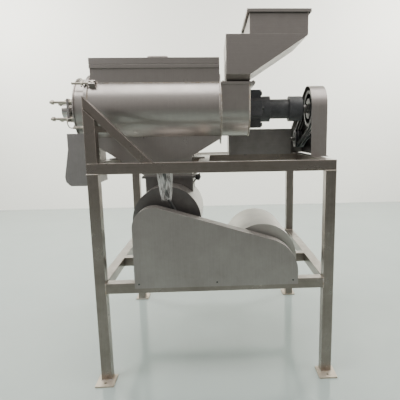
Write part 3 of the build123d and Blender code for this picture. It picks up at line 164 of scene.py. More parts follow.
def edge_wear_group():
    """A mask of corners that are rubbed bright."""
    tree, given, out = new_tree(
        "Edge Wear",
        "ShaderNodeTree",
        [("Width", "NodeSocketFloat", 0.002), ("Amount", "NodeSocketFloat", 0.6)],
        [("Mask", "NodeSocketFloat")],
    )
    rounded = node(tree, "ShaderNodeBevel", {"Radius": given["Width"]}, samples=4).outputs[0]
    normal = node(tree, "ShaderNodeNewGeometry").outputs["Normal"]
    agree = node(tree, "ShaderNodeVectorMath", {0: rounded, 1: normal}, operation="DOT_PRODUCT")
    edge = spread(tree, agree.outputs["Value"], 0.99, 0.82, 0.0, 1.0)
    chips = noise(tree, object_place(tree), 70.0, 5.0, 0.7)
    broken = spread(tree, chips, 0.4, 0.6, 0.3, 1.0)
    mask = product(tree, product(tree, edge, broken), given["Amount"], clamp=True)
    tree.links.new(mask, out.inputs["Mask"])
    return tree


def cast_skin_group():
    """The pebbled skin of a sand casting under paint."""
    tree, given, out = new_tree(
        "Cast Skin",
        "ShaderNodeTree",
        [
            ("Grit", "NodeSocketFloat", 260.0),
            ("Light Colour", "NodeSocketColor", (0.1, 0.1, 0.1, 1)),
            ("Dark Colour", "NodeSocketColor", (0.03, 0.03, 0.03, 1)),
        ],
        [("Colour", "NodeSocketColor"), ("Height", "NodeSocketFloat"), ("Roughness", "NodeSocketFloat")],
    )
    place = object_place(tree)
    grit = noise(tree, place, given["Grit"], 5.0, 0.65)
    stains = noise(tree, place, 22.0, 4.0, 0.6)
    shade = spread(tree, math_node(tree, "ADD", grit, stains), 0.75, 1.25, 0.0, 1.0)
    tree.links.new(mix_colour(tree, shade, given["Dark Colour"], given["Light Colour"]), out.inputs["Colour"])
    tree.links.new(grit, out.inputs["Height"])
    tree.links.new(spread(tree, stains, 0.3, 0.7, 0.62, 0.38), out.inputs["Roughness"])
    return tree


BRUSHED_GRAIN = brushed_grain_group()
SHOP_DUST = shop_dust_group()
EDGE_WEAR = edge_wear_group()
CAST_SKIN = cast_skin_group()


# ---------------------------------------------------------------- materials
def start_material(name):
    material = bpy.data.materials.new(name)
    material.use_nodes = True
    tree = material.node_tree
    return material, tree, tree.nodes["Principled BSDF"]


def group_node(tree, group, sockets):
    return node(tree, "ShaderNodeGroup", sockets, node_tree=group).outputs


def set_bump(tree, shader, height, strength, distance, edge_radius=0.0015):
    """Surface relief over edges that are eased by edge_radius."""
    rounded = node(tree, "ShaderNodeBevel", {"Radius": edge_radius}, samples=4).outputs[0]
    sockets = {"Height": height, "Strength": strength, "Distance": distance, "Normal": rounded}
    bump = node(tree, "ShaderNodeBump", sockets)
    tree.links.new(bump.outputs[0], shader.inputs["Normal"])


GRAIN_FINE = 420.0
GRAIN_LONG = 7.0
ALONG_X = (GRAIN_LONG, GRAIN_FINE, GRAIN_FINE)
ALONG_Y = (GRAIN_FINE, GRAIN_LONG, GRAIN_FINE)
ALONG_Z = (GRAIN_FINE, GRAIN_FINE, GRAIN_LONG)
AROUND_X = (GRAIN_FINE, GRAIN_LONG, GRAIN_LONG)
AROUND_Y = (GRAIN_LONG, GRAIN_FINE, GRAIN_LONG)


def brushed_steel(name, stretch, light, dark, smooth, rough, dust=0.2, rail_turn=None, edge_radius=0.0015):
    """Satin stainless sheet. rail_turn is the |x| past which the tubes, and their grain, run along Y."""
    material, tree, shader = start_material(name)
    grain = group_node(
        tree,
        BRUSHED_GRAIN,
        {"Stretch": stretch, "Light Colour": light, "Dark Colour": dark, "Smooth": smooth, "Rough": rough},
    )
    if rail_turn is not None:
        place = object_place(tree)
        x = node(tree, "ShaderNodeSeparateXYZ", {0: place}).outputs["X"]
        side = math_node(tree, "GREATER_THAN", math_node(tree, "ABSOLUTE", x), rail_turn)
        turned = node(tree, "ShaderNodeMix", {0: side, 4: ALONG_X, 5: ALONG_Y}, data_type="VECTOR").outputs[1]
        tree.links.new(turned, grain["Colour"].node.inputs["Stretch"])
    dusty = group_node(tree, SHOP_DUST, {"Colour": grain["Colour"], "Amount": dust})
    tree.links.new(dusty["Colour"], shader.inputs["Base Color"])
    tree.links.new(grain["Roughness"], shader.inputs["Roughness"])
    metal = math_node(tree, "SUBTRACT", 1.0, dusty["Mask"], clamp=True)
    tree.links.new(metal, shader.inputs["Metallic"])
    set_bump(tree, shader, grain["Height"], 0.08, 0.0003, edge_radius)
    return material


def cast_paint(name, light, dark, worn=(0.32, 0.31, 0.3, 1), wear=0.5):
    material, tree, shader = start_material(name)
    skin = group_node(tree, CAST_SKIN, {"Grit": 300.0, "Light Colour": light, "Dark Colour": dark})
    mask = group_node(tree, EDGE_WEAR, {"Width": 0.0018, "Amount": wear})["Mask"]
    bright = mix_colour(tree, mask, skin["Colour"], worn)
    dusty = group_node(tree, SHOP_DUST, {"Colour": bright, "Amount": 0.16})
    tree.links.new(dusty["Colour"], shader.inputs["Base Color"])
    tree.links.new(skin["Roughness"], shader.inputs["Roughness"])
    tree.links.new(mask, shader.inputs["Metallic"])
    set_bump(tree, shader, skin["Height"], 0.3, 0.0008)
    return material


def rubber(name, tone):
    material, tree, shader = start_material(name)
    light = (tone * 1.8, tone * 1.8, tone * 1.8, 1)
    dark = (tone, tone, tone, 1)
    skin = group_node(tree, CAST_SKIN, {"Grit": 900.0, "Light Colour": light, "Dark Colour": dark})
    tree.links.new(skin["Colour"], shader.inputs["Base Color"])
    tree.links.new(skin["Roughness"], shader.inputs["Roughness"])
    set_bump(tree, shader, skin["Height"], 0.15, 0.0003)
    return material


def weld_metal():
    """Bead metal with straw and blue heat colours."""
    material, tree, shader = start_material("weld bead")
    place = object_place(tree)
    heat = noise(tree, place, 55.0, 3.0)
    straw = mix_colour(tree, spread(tree, heat, 0.35, 0.65, 0, 1), (0.42, 0.4, 0.38, 1), (0.3, 0.24, 0.17, 1))
    tree.links.new(straw, shader.inputs["Base Color"])
    shader.inputs["Metallic"].default_value = 1.0
    tree.links.new(spread(tree, noise(tree, place, 400.0), 0.3, 0.7, 0.28, 0.5), shader.inputs["Roughness"])
    return material


def film(name):
    """Clear wrapping film; its creases give relief and whitish streaks, partly milky film and partly painted
    highlight.
    """
    material, tree, shader = start_material(name)
    place = object_place(tree)
    creases_and_sheen = noise(tree, stretch_by(tree, place, (150, 150, 9)), 0.6, 2.0, 0.5)
    shader.inputs["Base Color"].default_value = (0.92, 0.91, 0.88, 1)
    # where the creases make the film opaque, its pale colour paints streaky highlights as well as milkiness
    tree.links.new(spread(tree, creases_and_sheen, 0.44, 0.66, 0.06, 0.6), shader.inputs["Alpha"])
    shader.inputs["Roughness"].default_value = 0.12
    set_bump(tree, shader, creases_and_sheen, 0.7, 0.002)
    return material


STEEL = {"light": (0.43, 0.40, 0.378, 1), "dark": (0.335, 0.308, 0.29, 1), "smooth": 0.26, "rough": 0.38}
PLATE = {"light": (0.37, 0.34, 0.322, 1), "dark": (0.285, 0.26, 0.245, 1), "smooth": 0.34, "rough": 0.46}
TUBE = {"light": (0.30, 0.266, 0.238, 1), "dark": (0.20, 0.172, 0.15, 1), "smooth": 0.24, "rough": 0.38}
RAW = {"light": (0.62, 0.55, 0.45, 1), "dark": (0.42, 0.35, 0.28, 1), "smooth": 0.5, "rough": 0.68}
DARK = {"light": (0.21, 0.198, 0.19, 1), "dark": (0.135, 0.125, 0.12, 1), "smooth": 0.36, "rough": 0.5}
CHUTE = {"light": (0.30, 0.285, 0.275, 1), "dark": (0.22, 0.205, 0.198, 1), "smooth": 0.4, "rough": 0.52}
SHROUD = {"light": (0.60, 0.585, 0.54, 1), "dark": (0.47, 0.455, 0.42, 1), "smooth": 0.4, "rough": 0.55}
TURNED = {"light": (0.55, 0.53, 0.51, 1), "dark": (0.4, 0.385, 0.37, 1), "smooth": 0.2, "rough": 0.3}
SHAFTING = {"light": (0.5, 0.49, 0.47, 1), "dark": (0.38, 0.37, 0.35, 1), "smooth": 0.22, "rough": 0.34}
ZINC = {"light": (0.44, 0.40, 0.34, 1), "dark": (0.27, 0.245, 0.21, 1), "smooth": 0.28, "rough": 0.42}
CLEAN = 0.1

# Sizes that the pieces share, in metres.
TUBE_HALF = 0.025
TUBE_CORNER = 0.004
DRUM_RADIUS = 0.18
NECK_HALF = 0.125
GUARD_DEPTH = 0.084
# thickness of the black sheet of painted shade inside the upper belt guard
SHADE_SHEET_THICKNESS = 0.003
FLOOR_REACH = 14.0
WALL_Y = 4.4
WALL_TOP = 9
CABLE_ACROSS = 0.016
CABLE_STEPS = 16

# The supply cable's route, in metres from the frame's front left corner on the floor.
CABLE_CORNER = Vector((-0.580, -0.525, 0))
CABLE_ROUTE = [
    (0.345, 0.062, 1.037),
    (0.345, 0.066, 0.980),
    (0.352, 0.084, 0.925),
    (0.372, 0.096, 0.872),
    (0.402, 0.098, 0.822),
    (0.414, 0.100, 0.768),
    (0.408, 0.100, 0.712),
    (0.417, 0.100, 0.656),
    (0.449, 0.098, 0.612),
    (0.484, 0.102, 0.586),
    (0.519, 0.116, 0.571),
    (0.552, 0.138, 0.566),
    (0.584, 0.158, 0.566),
    (0.614, 0.168, 0.566),
    (0.645, 0.168, 0.566),
]

RAIL_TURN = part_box("lower_rails")[1].x - 0.0501

drum_sheet = brushed_steel("drum sheet", AROUND_X, **STEEL)
hopper_sheet = brushed_steel("hopper sheet", ALONG_X, **PLATE)
mill_sheet = brushed_steel("mill sheet", AROUND_Y, **DARK)
casing_sheet = brushed_steel("casing sheet", AROUND_Y, **STEEL)
guard_sheet = brushed_steel("guard sheet", ALONG_Z, **PLATE)
cover_sheet = brushed_steel("cover sheet", ALONG_X, **CHUTE)
shroud_sheet = brushed_steel("shroud sheet", AROUND_Y, **SHROUD, dust=0.35)
rail_tube = brushed_steel("rail tube", ALONG_X, **TUBE, rail_turn=RAIL_TURN, edge_radius=TUBE_CORNER)
leg_tube = brushed_steel("leg tube", ALONG_Z, **TUBE, edge_radius=TUBE_CORNER)
foot_steel = brushed_steel("foot steel", ALONG_Y, **RAW)
chute_sheet = brushed_steel("chute sheet", ALONG_Z, **CHUTE)
turned_steel = brushed_steel("turned steel", AROUND_X, **TURNED, dust=CLEAN)
turned_mill_steel = brushed_steel("turned mill steel", AROUND_Y, **SHAFTING)
zinc_steel = brushed_steel("zinc steel", AROUND_X, **ZINC, dust=CLEAN)
charcoal_casting = cast_paint("charcoal casting", (0.062, 0.062, 0.066, 1), (0.03, 0.03, 0.033, 1))
black_oxide = cast_paint("black oxide", (0.035, 0.035, 0.036, 1), (0.012, 0.012, 0.013, 1), wear=0.3)
# near-black finish for the sheet that paints the shade inside the upper belt guard
painted_shade_black = cast_paint("painted shade black", (0.014, 0.014, 0.015, 1), (0.007, 0.007, 0.008, 1), wear=0.1)
motor_enamel = cast_paint("motor enamel", (0.10, 0.16, 0.22, 1), (0.05, 0.09, 0.13, 1))
belt_rubber = rubber("belt rubber", 0.012)
cable_sheath = rubber("cable sheath", 0.014)
bead_metal = weld_metal()
clear_film = film("clear film")

FINISH = {
    drum_sheet: ["drum_shell", "drum_screen", "drum_end_plates", "discharge_collar", "end_cover",
                 "hammer_chamber", "chamber_end_plate", "hinge_lugs", "lid_handle", "collecting_funnel"],
    hopper_sheet: ["hopper", "feed_tray", "drum_lid"],
    guard_sheet: ["upper_belt_guard", "lower_belt_guard", "mill_saddles", "mill_spout"],
    cover_sheet: ["upper_motor_cover"],
    mill_sheet: ["mill_end_plates", "mill_screen", "mill_throat"],
    casing_sheet: ["mill_casing"],
    shroud_sheet: ["motor_shroud"],
    rail_tube: ["upper_rails", "lower_rails", "cross_rails", "end_supports"],
    leg_tube: ["legs"],
    foot_steel: ["foot_plates"],
    chute_sheet: ["residue_chute"],
    turned_steel: ["main_shaft", "upper_motor_shaft", "bearings", "end_bearing_housing"],
    turned_mill_steel: ["mill_shaft", "lower_motor_shaft"],
    zinc_steel: ["adjusting_rods", "swing_bolt_front_top", "swing_bolt_front_bottom", "swing_bolt_back_top",
                 "swing_bolt_back_bottom", "hammer_row_1", "hammer_row_2", "hammer_row_3", "hammer_row_4"],
    charcoal_casting: ["bearing_cartridge", "mill_bearing_housings", "hammer_rotor", "drum_beaters",
                       "mill_rotor", "upper_motor_pulley", "mill_pulley", "lower_motor_pulley"],
    black_oxide: ["bolts_and_screws", "shaft_pulley"],
    motor_enamel: ["upper_motor", "lower_motor"],
    belt_rubber: ["upper_belts", "lower_belts"],
}


def finish_cad():
    for material, names in FINISH.items():
        for name in names:
            for slot in nodes[name].material_slots:
                slot.material = material


# ---------------------------------------------------------------- pieces made by rule
def link_object(name, data):
    made = bpy.data.objects.new(name, data)
    bpy.context.scene.collection.objects.link(made)
    return made


def mesh_object(name, points, faces, material, edges=()):
    mesh = bpy.data.meshes.new(name)
    mesh.from_pydata(points, edges, faces)
    if material:
        mesh.materials.append(material)
    return link_object(name, mesh)


def modifier_result(name, carrier, tree, values):
    """Run a geometry tree on the carrier and keep the outcome as a plain mesh."""
    modifier = carrier.modifiers.new("shape", "NODES")
    modifier.node_group = tree
    sockets = {item.name: item.identifier for item in tree.interface.items_tree if item.in_out == "INPUT"}
    for key, value in values.items():
        modifier[sockets[key]] = value
    graph = bpy.context.evaluated_depsgraph_get()
    mesh = bpy.data.meshes.new_from_object(carrier.evaluated_get(graph), depsgraph=graph)
    bpy.data.objects.remove(carrier)
    return link_object(name, mesh)


def settle(piece, body):
    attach(piece, body)
    return piece


def weld_tree():
    """Overlapping ripples of bead metal along every path of the carrier."""
    tree, given, out = new_tree(
        "Weld Bead",
        "GeometryNodeTree",
        [
            ("Geometry", "NodeSocketGeometry", None),
            ("Bead Width", "NodeSocketFloat", 0.008),
            ("Ripple Step", "NodeSocketFloat", 0.0035),
            ("Material", "NodeSocketMaterial", None),
        ],
        [("Geometry", "NodeSocketGeometry")],
    )
    path = node(tree, "GeometryNodeMeshToCurve", {0: given["Geometry"]}).outputs[0]
    sockets = {"Curve": path, "Length": given["Ripple Step"]}
    steps = node(tree, "GeometryNodeResampleCurve", sockets, mode="LENGTH")
    ripple = node(tree, "GeometryNodeMeshIcoSphere", {"Radius": 0.5, "Subdivisions": 2}).outputs[0]
    tangent = node(tree, "GeometryNodeInputTangent").outputs[0]
    turn = node(tree, "FunctionNodeAlignRotationToVector", {"Vector": tangent}, axis="X").outputs[0]
    long_axis = product(tree, given["Ripple Step"], 2.4)
    sockets = {2: 0.85, 3: 1.12, "Seed": 4}
    wobble = node(tree, "FunctionNodeRandomValue", sockets, data_type="FLOAT").outputs[1]
    width = product(tree, given["Bead Width"], wobble)
    size = node(tree, "ShaderNodeCombineXYZ", {0: long_axis, 1: width, 2: width}).outputs[0]
    sockets = {"Points": steps.outputs[0], "Instance": ripple, "Rotation": turn, "Scale": size}
    placed = node(tree, "GeometryNodeInstanceOnPoints", sockets).outputs[0]
    solid = node(tree, "GeometryNodeRealizeInstances", {0: placed}).outputs[0]
    smooth = node(tree, "GeometryNodeSetShadeSmooth", {0: solid}).outputs[0]
    named = node(tree, "GeometryNodeSetMaterial", {"Geometry": smooth, "Material": given["Material"]})
    tree.links.new(named.outputs[0], out.inputs[0])
    return tree


def bolt_tree():
    """A washer, a hexagon head with a chamfered top and a stub of thread at each point of the carrier."""
    tree, given, out = new_tree(
        "Hex Bolt",
        "GeometryNodeTree",
        [
            ("Geometry", "NodeSocketGeometry", None),
            ("Head Radius", "NodeSocketFloat", 0.008),
            ("Head Height", "NodeSocketFloat", 0.006),
            ("Material", "NodeSocketMaterial", None),
        ],
        [("Geometry", "NodeSocketGeometry")],
    )

    def ring(sides, radius_share, top_share, low_share, high_share):
        low = product(tree, given["Head Height"], low_share)
        sockets = {
            "Vertices": sides,
            "Radius Bottom": product(tree, given["Head Radius"], radius_share),
            "Radius Top": product(tree, given["Head Radius"], top_share),
            "Depth": product(tree, given["Head Height"], high_share - low_share),
        }
        shape = node(tree, "GeometryNodeMeshCone", sockets).outputs[0]
        lift = node(tree, "ShaderNodeCombineXYZ", {2: low}).outputs[0]
        return node(tree, "GeometryNodeTransform", {"Geometry": shape, "Translation": lift}).outputs[0]

    join = node(tree, "GeometryNodeJoinGeometry")
    for shape in (
        ring(24, 1.32, 1.28, -0.3, 0.18),
        ring(6, 1.0, 1.0, 0.1, 0.95),
        ring(24, 0.86, 0.74, 0.9, 1.08),
        ring(12, 0.5, 0.42, 0.8, 1.32),
    ):
        tree.links.new(shape, join.inputs[0])
    facing = node(tree, "GeometryNodeInputNamedAttribute", {"Name": "facing"}, data_type="FLOAT_VECTOR")
    turn = node(tree, "FunctionNodeAlignRotationToVector", {"Vector": facing.outputs[0]}, axis="Z").outputs[0]
    sockets = {"Points": given["Geometry"], "Instance": join.outputs[0], "Rotation": turn}
    placed = node(tree, "GeometryNodeInstanceOnPoints", sockets).outputs[0]
    solid = node(tree, "GeometryNodeRealizeInstances", {0: placed}).outputs[0]
    named = node(tree, "GeometryNodeSetMaterial", {"Geometry": solid, "Material": given["Material"]})
    tree.links.new(named.outputs[0], out.inputs[0])
    return tree


WELD_TREE = weld_tree()
BOLT_TREE = bolt_tree()


def arc(centre, first, second, radius, start, end, steps=64):
    """Points on an arc in the plane of the unit vectors first and second, angles in degrees."""
    angles = [math.radians(start + (end - start) * i / steps) for i in range(steps + 1)]
    return [centre + radius * (math.cos(a) * first + math.sin(a) * second) for a in angles]


def weld(name, body, paths, width=0.008, step=0.0035):
    points, edges = [], []
    for path in paths:
        first = len(points)
        points.extend(path)
        edges.extend((i, i + 1) for i in range(first, len(points) - 1))
    carrier = mesh_object("carrier", points, [], None, edges)
    values = {"Bead Width": width, "Ripple Step": step, "Material": bead_metal}
    return settle(modifier_result(name, carrier, WELD_TREE, values), body)


def bolts(name, body, places, radius, height, material):
    """places holds (point, outward direction) pairs."""
    carrier = mesh_object("carrier", [point for point, _ in places], [], None)
    facing = carrier.data.attributes.new("facing", "FLOAT_VECTOR", "POINT")
    for entry, (_, direction) in zip(facing.data, places):
        entry.vector = direction
    values = {"Head Radius": radius, "Head Height": height, "Material": material}
    return settle(modifier_result(name, carrier, BOLT_TREE, values), body)


X, Y, Z = Vector((1, 0, 0)), Vector((0, 1, 0)), Vector((0, 0, 1))


def square_path(centre, first, second, half_first, half_second):
    corners = [(-1, -1), (1, -1), (1, 1), (-1, 1), (-1, -1)]
    return [centre + a * half_first * first + b * half_second * second for a, b in corners]


# ---------------------------------------------------------------- welds
def frame_welds():
    """Beads where the legs meet the upper rails, the foot plates and the lower rails."""
    rails_low, rails_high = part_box("lower_rails")
    upper_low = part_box("upper_rails")[0]
    leg_low, leg_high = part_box("legs")
    half = TUBE_HALF
    paths = []
    for x in (leg_low.x + half, leg_high.x - half):
        for y in (leg_low.y + half, leg_high.y - half):
            centre = Vector((x, y, 0))
            paths.append(square_path(centre + Z * upper_low.z, X, Y, half, half))
            paths.append(square_path(centre + Z * leg_low.z, X, Y, half, half))
            toward_x, toward_y = -math.copysign(1, x), -math.copysign(1, y)
            middle = Z * (rails_low.z + rails_high.z) / 2
            paths.append(square_path(centre + middle + X * half * toward_x, Y, Z, half, half))
            paths.append(square_path(centre + middle + Y * half * toward_y, X, Z, half, half))
    weld("frame_welds", "machine", paths, width=0.006, step=0.004)


def chamber_welds():
    """The chamber is a half round with upright walls above the shaft line, welded at both ends."""
    low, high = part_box("hammer_chamber")
    radius = SHAFT.z - low.z + 0.0005
    flange_low = high.z - 0.013
    paths = []
    for x in (low.x + 0.001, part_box("chamber_end_plate")[1].x - 0.001):
        centre = Vector((x, SHAFT.y, SHAFT.z))
        half_round = arc(centre, Y, Z, radius, 0, -180)
        upright = Vector((0, 0, flange_low - SHAFT.z))
        paths.append([half_round[0] + upright, *half_round, half_round[-1] + upright])
    weld("chamber_welds", "machine", paths, width=0.009, step=0.0042)


def drum_welds():
    """Beads round both ends of the shell below its neck, and along the neck's foot."""
    low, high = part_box("drum_shell")
    centre = Vector((0, SHAFT.y, SHAFT.z))
    radius = DRUM_RADIUS + 0.0005
    paths = [arc(centre + X * x, Y, Z, radius, 134, 406, 90) for x in (low.x + 0.001, high.x - 0.001)]
    crease = SHAFT.z + math.sqrt(DRUM_RADIUS**2 - NECK_HALF**2)
    for side in (-1, 1):
        y = SHAFT.y + side * (NECK_HALF + 0.0005)
        paths.append([Vector((low.x + 0.012, y, crease)), Vector((high.x - 0.002, y, crease))])
    weld("drum_welds", "machine", paths, width=0.0045, step=0.0035)


def hopper_welds():
    """A bead round the foot of the hopper's mouth."""
    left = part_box("hopper")[0].x
    flange_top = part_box("hammer_chamber")[1].z
    mouth_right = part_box("chamber_end_plate")[1].x - 0.002
    half_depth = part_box("hammer_chamber")[1].y - SHAFT.y - 0.018
    centre = Vector(((left + mouth_right) / 2, SHAFT.y, flange_top))
    foot = square_path(centre, X, Y, (mouth_right - left) / 2, half_depth)
    weld("hopper_welds", "machine", [foot], width=0.006, step=0.0035)


# ---------------------------------------------------------------- smaller pieces
def bar_curve(name, points, radius, material, rounded, kind="NURBS", steps=12):
    """A round bar along the points: a smooth line, or straight runs where kind is POLY."""
    data = bpy.data.curves.new(name, "CURVE")
    data.dimensions = "3D"
    data.bevel_depth = radius
    data.bevel_resolution = rounded
    data.resolution_u = steps
    data.use_fill_caps = True
    spline = data.splines.new(kind)
    spline.points.add(len(points) - 1)
    for control, point in zip(spline.points, points):
        control.co = (*point, 1)
    if kind == "NURBS":
        spline.order_u = 3
        spline.use_endpoint_u = True
    spline.resolution_u = steps
    data.materials.append(material)
    return data


def tube_piece(name, body, points, radius, material, kind="NURBS"):
    carrier = link_object("carrier", bar_curve(name, points, radius, material, 4, kind))
    graph = bpy.context.evaluated_depsgraph_get()
    mesh = bpy.data.meshes.new_from_object(carrier.evaluated_get(graph))
    bpy.data.objects.remove(carrier)
    mesh.shade_smooth()
    return settle(link_object(name, mesh), body)


def turned_piece(name, body, places, axis, profile, material, sides=32):
    """A turned shape at every place; profile holds (distance along axis, radius) pairs, with flat ends."""
    first = axis.orthogonal().normalized()
    second = axis.cross(first)
    points, faces = [], []
    for place in places:
        rings = []
        for along, radius in profile:
            start = len(points)
            for i in range(sides):
                turn = 2 * math.pi * i / sides
                spoke = radius * (math.cos(turn) * first + math.sin(turn) * second)
                points.append(place + along * axis + spoke)
            rings.append(range(start, start + sides))
        faces.append(list(reversed(rings[0])))
        faces.append(list(rings[-1]))
        for low, high in zip(rings, rings[1:]):
            for i in range(sides):
                j = (i + 1) % sides
                faces.append([low[i], low[j], high[j], high[i]])
    piece = mesh_object(name, points, faces, material)
    piece.data.shade_smooth()
    piece.data.set_sharp_from_angle(angle=math.radians(32))
    return settle(piece, body)


def prism_piece(name, body, outline, push, material):
    """A plate: an outline pushed along one direction."""
    count = len(outline)
    points = [*outline, *(point + push for point in outline)]
    faces = [list(range(count)), list(reversed(range(count, 2 * count)))]
    faces += [[i, (i + 1) % count, (i + 1) % count + count, i + count] for i in range(count)]
    piece = mesh_object(name, points, faces, material)
    face_outward(piece.data)
    return settle(piece, body)


def face_outward(mesh):
    work = bmesh.new()
    work.from_mesh(mesh)
    bmesh.ops.recalc_face_normals(work, faces=work.faces)
    work.to_mesh(mesh)
    work.free()


def rail_caps():
    """Plates that close the open ends of the long upper rails, with a small rim."""
    low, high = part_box("upper_rails")
    half = (high.z - low.z) / 2 - 0.0032
    middle = (low.z + high.z) / 2
    rim = 0.002
    points, faces = [], []
    for x in (low.x + 0.0005, high.x - 0.0005):
        for y in (low.y + TUBE_HALF, high.y - TUBE_HALF):
            inward = -math.copysign(1, x) * X
            for depth, size in ((0.0, half - rim), (rim, half), (3 * rim, half)):
                corners = square_path(Vector((x, y, middle)) + depth * inward, Y, Z, size, size)[:4]
                points.extend(corners)
            start = len(points) - 12
            faces.append([start, start + 1, start + 2, start + 3])
            faces.append([start + 11, start + 10, start + 9, start + 8])
            for ring in (start, start + 4):
                for i in range(4):
                    j = (i + 1) % 4
                    faces.append([ring + i, ring + j, ring + j + 4, ring + i + 4])
    piece = mesh_object("rail_caps", points, faces, rail_tube)
    face_outward(piece.data)
    settle(piece, "machine")


def loop_outline(x, centres, radii, steps=28):
    """Outer line round two circles in the plane across X, joined by tangents."""
    first, second = centres
    gap = math.hypot(second[0] - first[0], second[1] - first[1])
    heading = math.atan2(second[1] - first[1], second[0] - first[0])
    lean = math.acos((radii[0] - radii[1]) / gap)
    outline = []
    for (y, z), radius, start, sweep in (
        (first, radii[0], heading + lean, 2 * math.pi - 2 * lean),
        (second, radii[1], heading - lean, 2 * lean),
    ):
        for i in range(steps + 1):
            turn = start + sweep * i / steps
            outline.append(Vector((x, y + radius * math.cos(turn), z + radius * math.sin(turn))))
    return outline


def guard_painted_shade():
    """A black sheet over the upper guard's inner right wall, down to the rail, that paints the shade inside
    the guard.
    """
    low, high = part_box("upper_belt_guard")
    rail_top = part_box("upper_rails")[1].z
    inner_face = low.x + GUARD_DEPTH - 0.0025
    motor = joint_place["upper_motor_spin"]
    gap = 0.003
    radii = (high.z - SHAFT.z - gap, high.y - motor.y - gap)
    loop = loop_outline(inner_face, ((SHAFT.y, SHAFT.z), (motor.y, motor.z)), radii)
    outline = down_to([point for point in loop if point.z > rail_top + 0.004], rail_top + gap)
    # the black sheet is painted shade standing in for the guard's dark interior
    prism_piece("guard_painted_shade", "machine", outline, -SHADE_SHEET_THICKNESS * X, painted_shade_black)


def down_to(points, floor_z):
    """The convex outline round the points and the places straight below their nearest and farthest."""
    x = points[0].x
    spots = {(point.y, point.z) for point in points}
    feet = {(min(spots)[0], floor_z), (max(spots)[0], floor_z)}
    flat = sorted(spots | feet)

    def turns_in(first, second, third):
        across = (second[0] - first[0]) * (third[1] - first[1])
        return across <= (second[1] - first[1]) * (third[0] - first[0])

    def half(run):
        kept = []
        for spot in run:
            while len(kept) > 1 and turns_in(kept[-2], kept[-1], spot):
                kept.pop()
            kept.append(spot)
        return kept[:-1]

    return [Vector((x, y, z)) for y, z in half(flat) + half(reversed(flat))]


def rod_washers():
    """A washer where each of the four adjusting rods meets the end cover."""
    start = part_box("end_cover")[0].x - 0.0003
    rods_low, rods_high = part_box("adjusting_rods")
    nut_radius = 0.013
    reach_y = (rods_high.y - rods_low.y) / 2 - nut_radius
    reach_z = (rods_high.z - rods_low.z) / 2 - nut_radius * math.cos(math.radians(30))
    signs = [(side, rise) for side in (-1, 1) for rise in (-1, 1)]
    places = [Vector((0, SHAFT.y + side * reach_y, SHAFT.z + rise * reach_z)) for side, rise in signs]
    end = start - 0.002
    hole, rim = 0.008, 0.0155
    profile = [(start, hole), (start, rim), (start - 0.0008, 0.016), (end, rim), (end, hole)]
    turned_piece("rod_washers", "machine", places, X, profile, zinc_steel)


def wire_handle():
    """The bent wire pull on the end cover."""
    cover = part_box("end_cover")[0].x
    y, z = SHAFT.y - 0.085, SHAFT.z - 0.062
    out, drop = 0.045, 0.03
    bends = [(0.001, 0.02), (-0.5 * out, 0.02), (-out, 0.016), (-out, -0.4 * drop),
             (-0.75 * out, -drop), (-0.25 * out, -drop), (-0.012, -0.6 * drop), (0.001, -0.2 * drop)]
    points = [(cover + along, y, z + rise) for along, rise in bends]
    tube_piece("wire_handle", "machine", points, 0.0028, zinc_steel)


def mill_latch():
    """The latch bolt with its round nut that holds the mill's front plate."""
    low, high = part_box("mill_throat")
    place = Vector((high.x + 0.012, low.y + 0.06, high.z - 0.012))
    knob = [(-0.016, 0.004), (-0.016, 0.012), (-0.013, 0.0145), (0.006, 0.0145),
            (0.009, 0.012), (0.009, 0.007), (0.014, 0.007), (0.014, 0.004)]
    tilt = Vector((0.45, -0.2, 0.87)).normalized()
    turned_piece("latch_nut", "machine", [place], tilt, knob, black_oxide, sides=20)
    ends = [place - 0.05 * tilt - 0.012 * X, place + 0.02 * tilt]
    tube_piece("latch_bolt", "machine", ends, 0.004, zinc_steel, "POLY")


def supply_cable():
    """The supply cable hangs free from under the front rail to the lower motor's shroud."""
    route = [CABLE_CORNER + Vector(point) for point in CABLE_ROUTE]
    data = bar_curve("free_supply_cable", route, CABLE_ACROSS / 2, cable_sheath, 6, steps=CABLE_STEPS)
    piece = settle(link_object("free_supply_cable", data), "machine")
    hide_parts("supply_cable")


def cable_film():
    """A gathered sleeve of clear film round the top of the supply cable."""
    cable_low, cable_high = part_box("supply_cable")
    top = cable_high.z - 0.001
    centre = Vector((cable_low.x + 0.008, cable_low.y + 0.009, 0))
    drift = Vector((0.004, 0.02, 0))
    length = 0.135
    flatness = 0.62
    rows, sides = 28, 72
    points, faces = [], []
    for row in range(rows + 1):
        share = row / rows
        radius = 0.034 - 0.013 * share**1.6
        for i in range(sides):
            turn = 2 * math.pi * i / sides
            large_folds = (0.10 + 0.10 * share) * math.sin(7 * turn + 1.3 * share)
            fold = 1 + large_folds + 0.05 * math.sin(13 * turn - 2 * share)
            wide, deep = radius * fold, flatness * radius * fold
            ragged = 0.006 * share**6 * math.sin(5 * turn)
            around = Vector((wide * math.cos(turn), deep * math.sin(turn), top - share * length + ragged))
            points.append(centre + share * drift + around)
    for row in range(rows):
        for i in range(sides):
            j = (i + 1) % sides
            a, b = row * sides, (row + 1) * sides
            faces.append([a + j, a + i, b + i, b + j])
    piece = mesh_object("cable_film", points, faces, clear_film)
    piece.data.shade_smooth()
    settle(piece, "machine")


def flange_bolts():
    """Hexagon bolts near the corners of the chamber's flange."""
    low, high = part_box("hammer_chamber")
    places = []
    for x in (low.x + 0.012, high.x - 0.009):
        for share in (0.06, 0.94):
            places.append((Vector((x, low.y + share * (high.y - low.y), high.z)), Z))
    bolts("chamber_flange_bolts", "machine", places, 0.0065, 0.0055, zinc_steel)


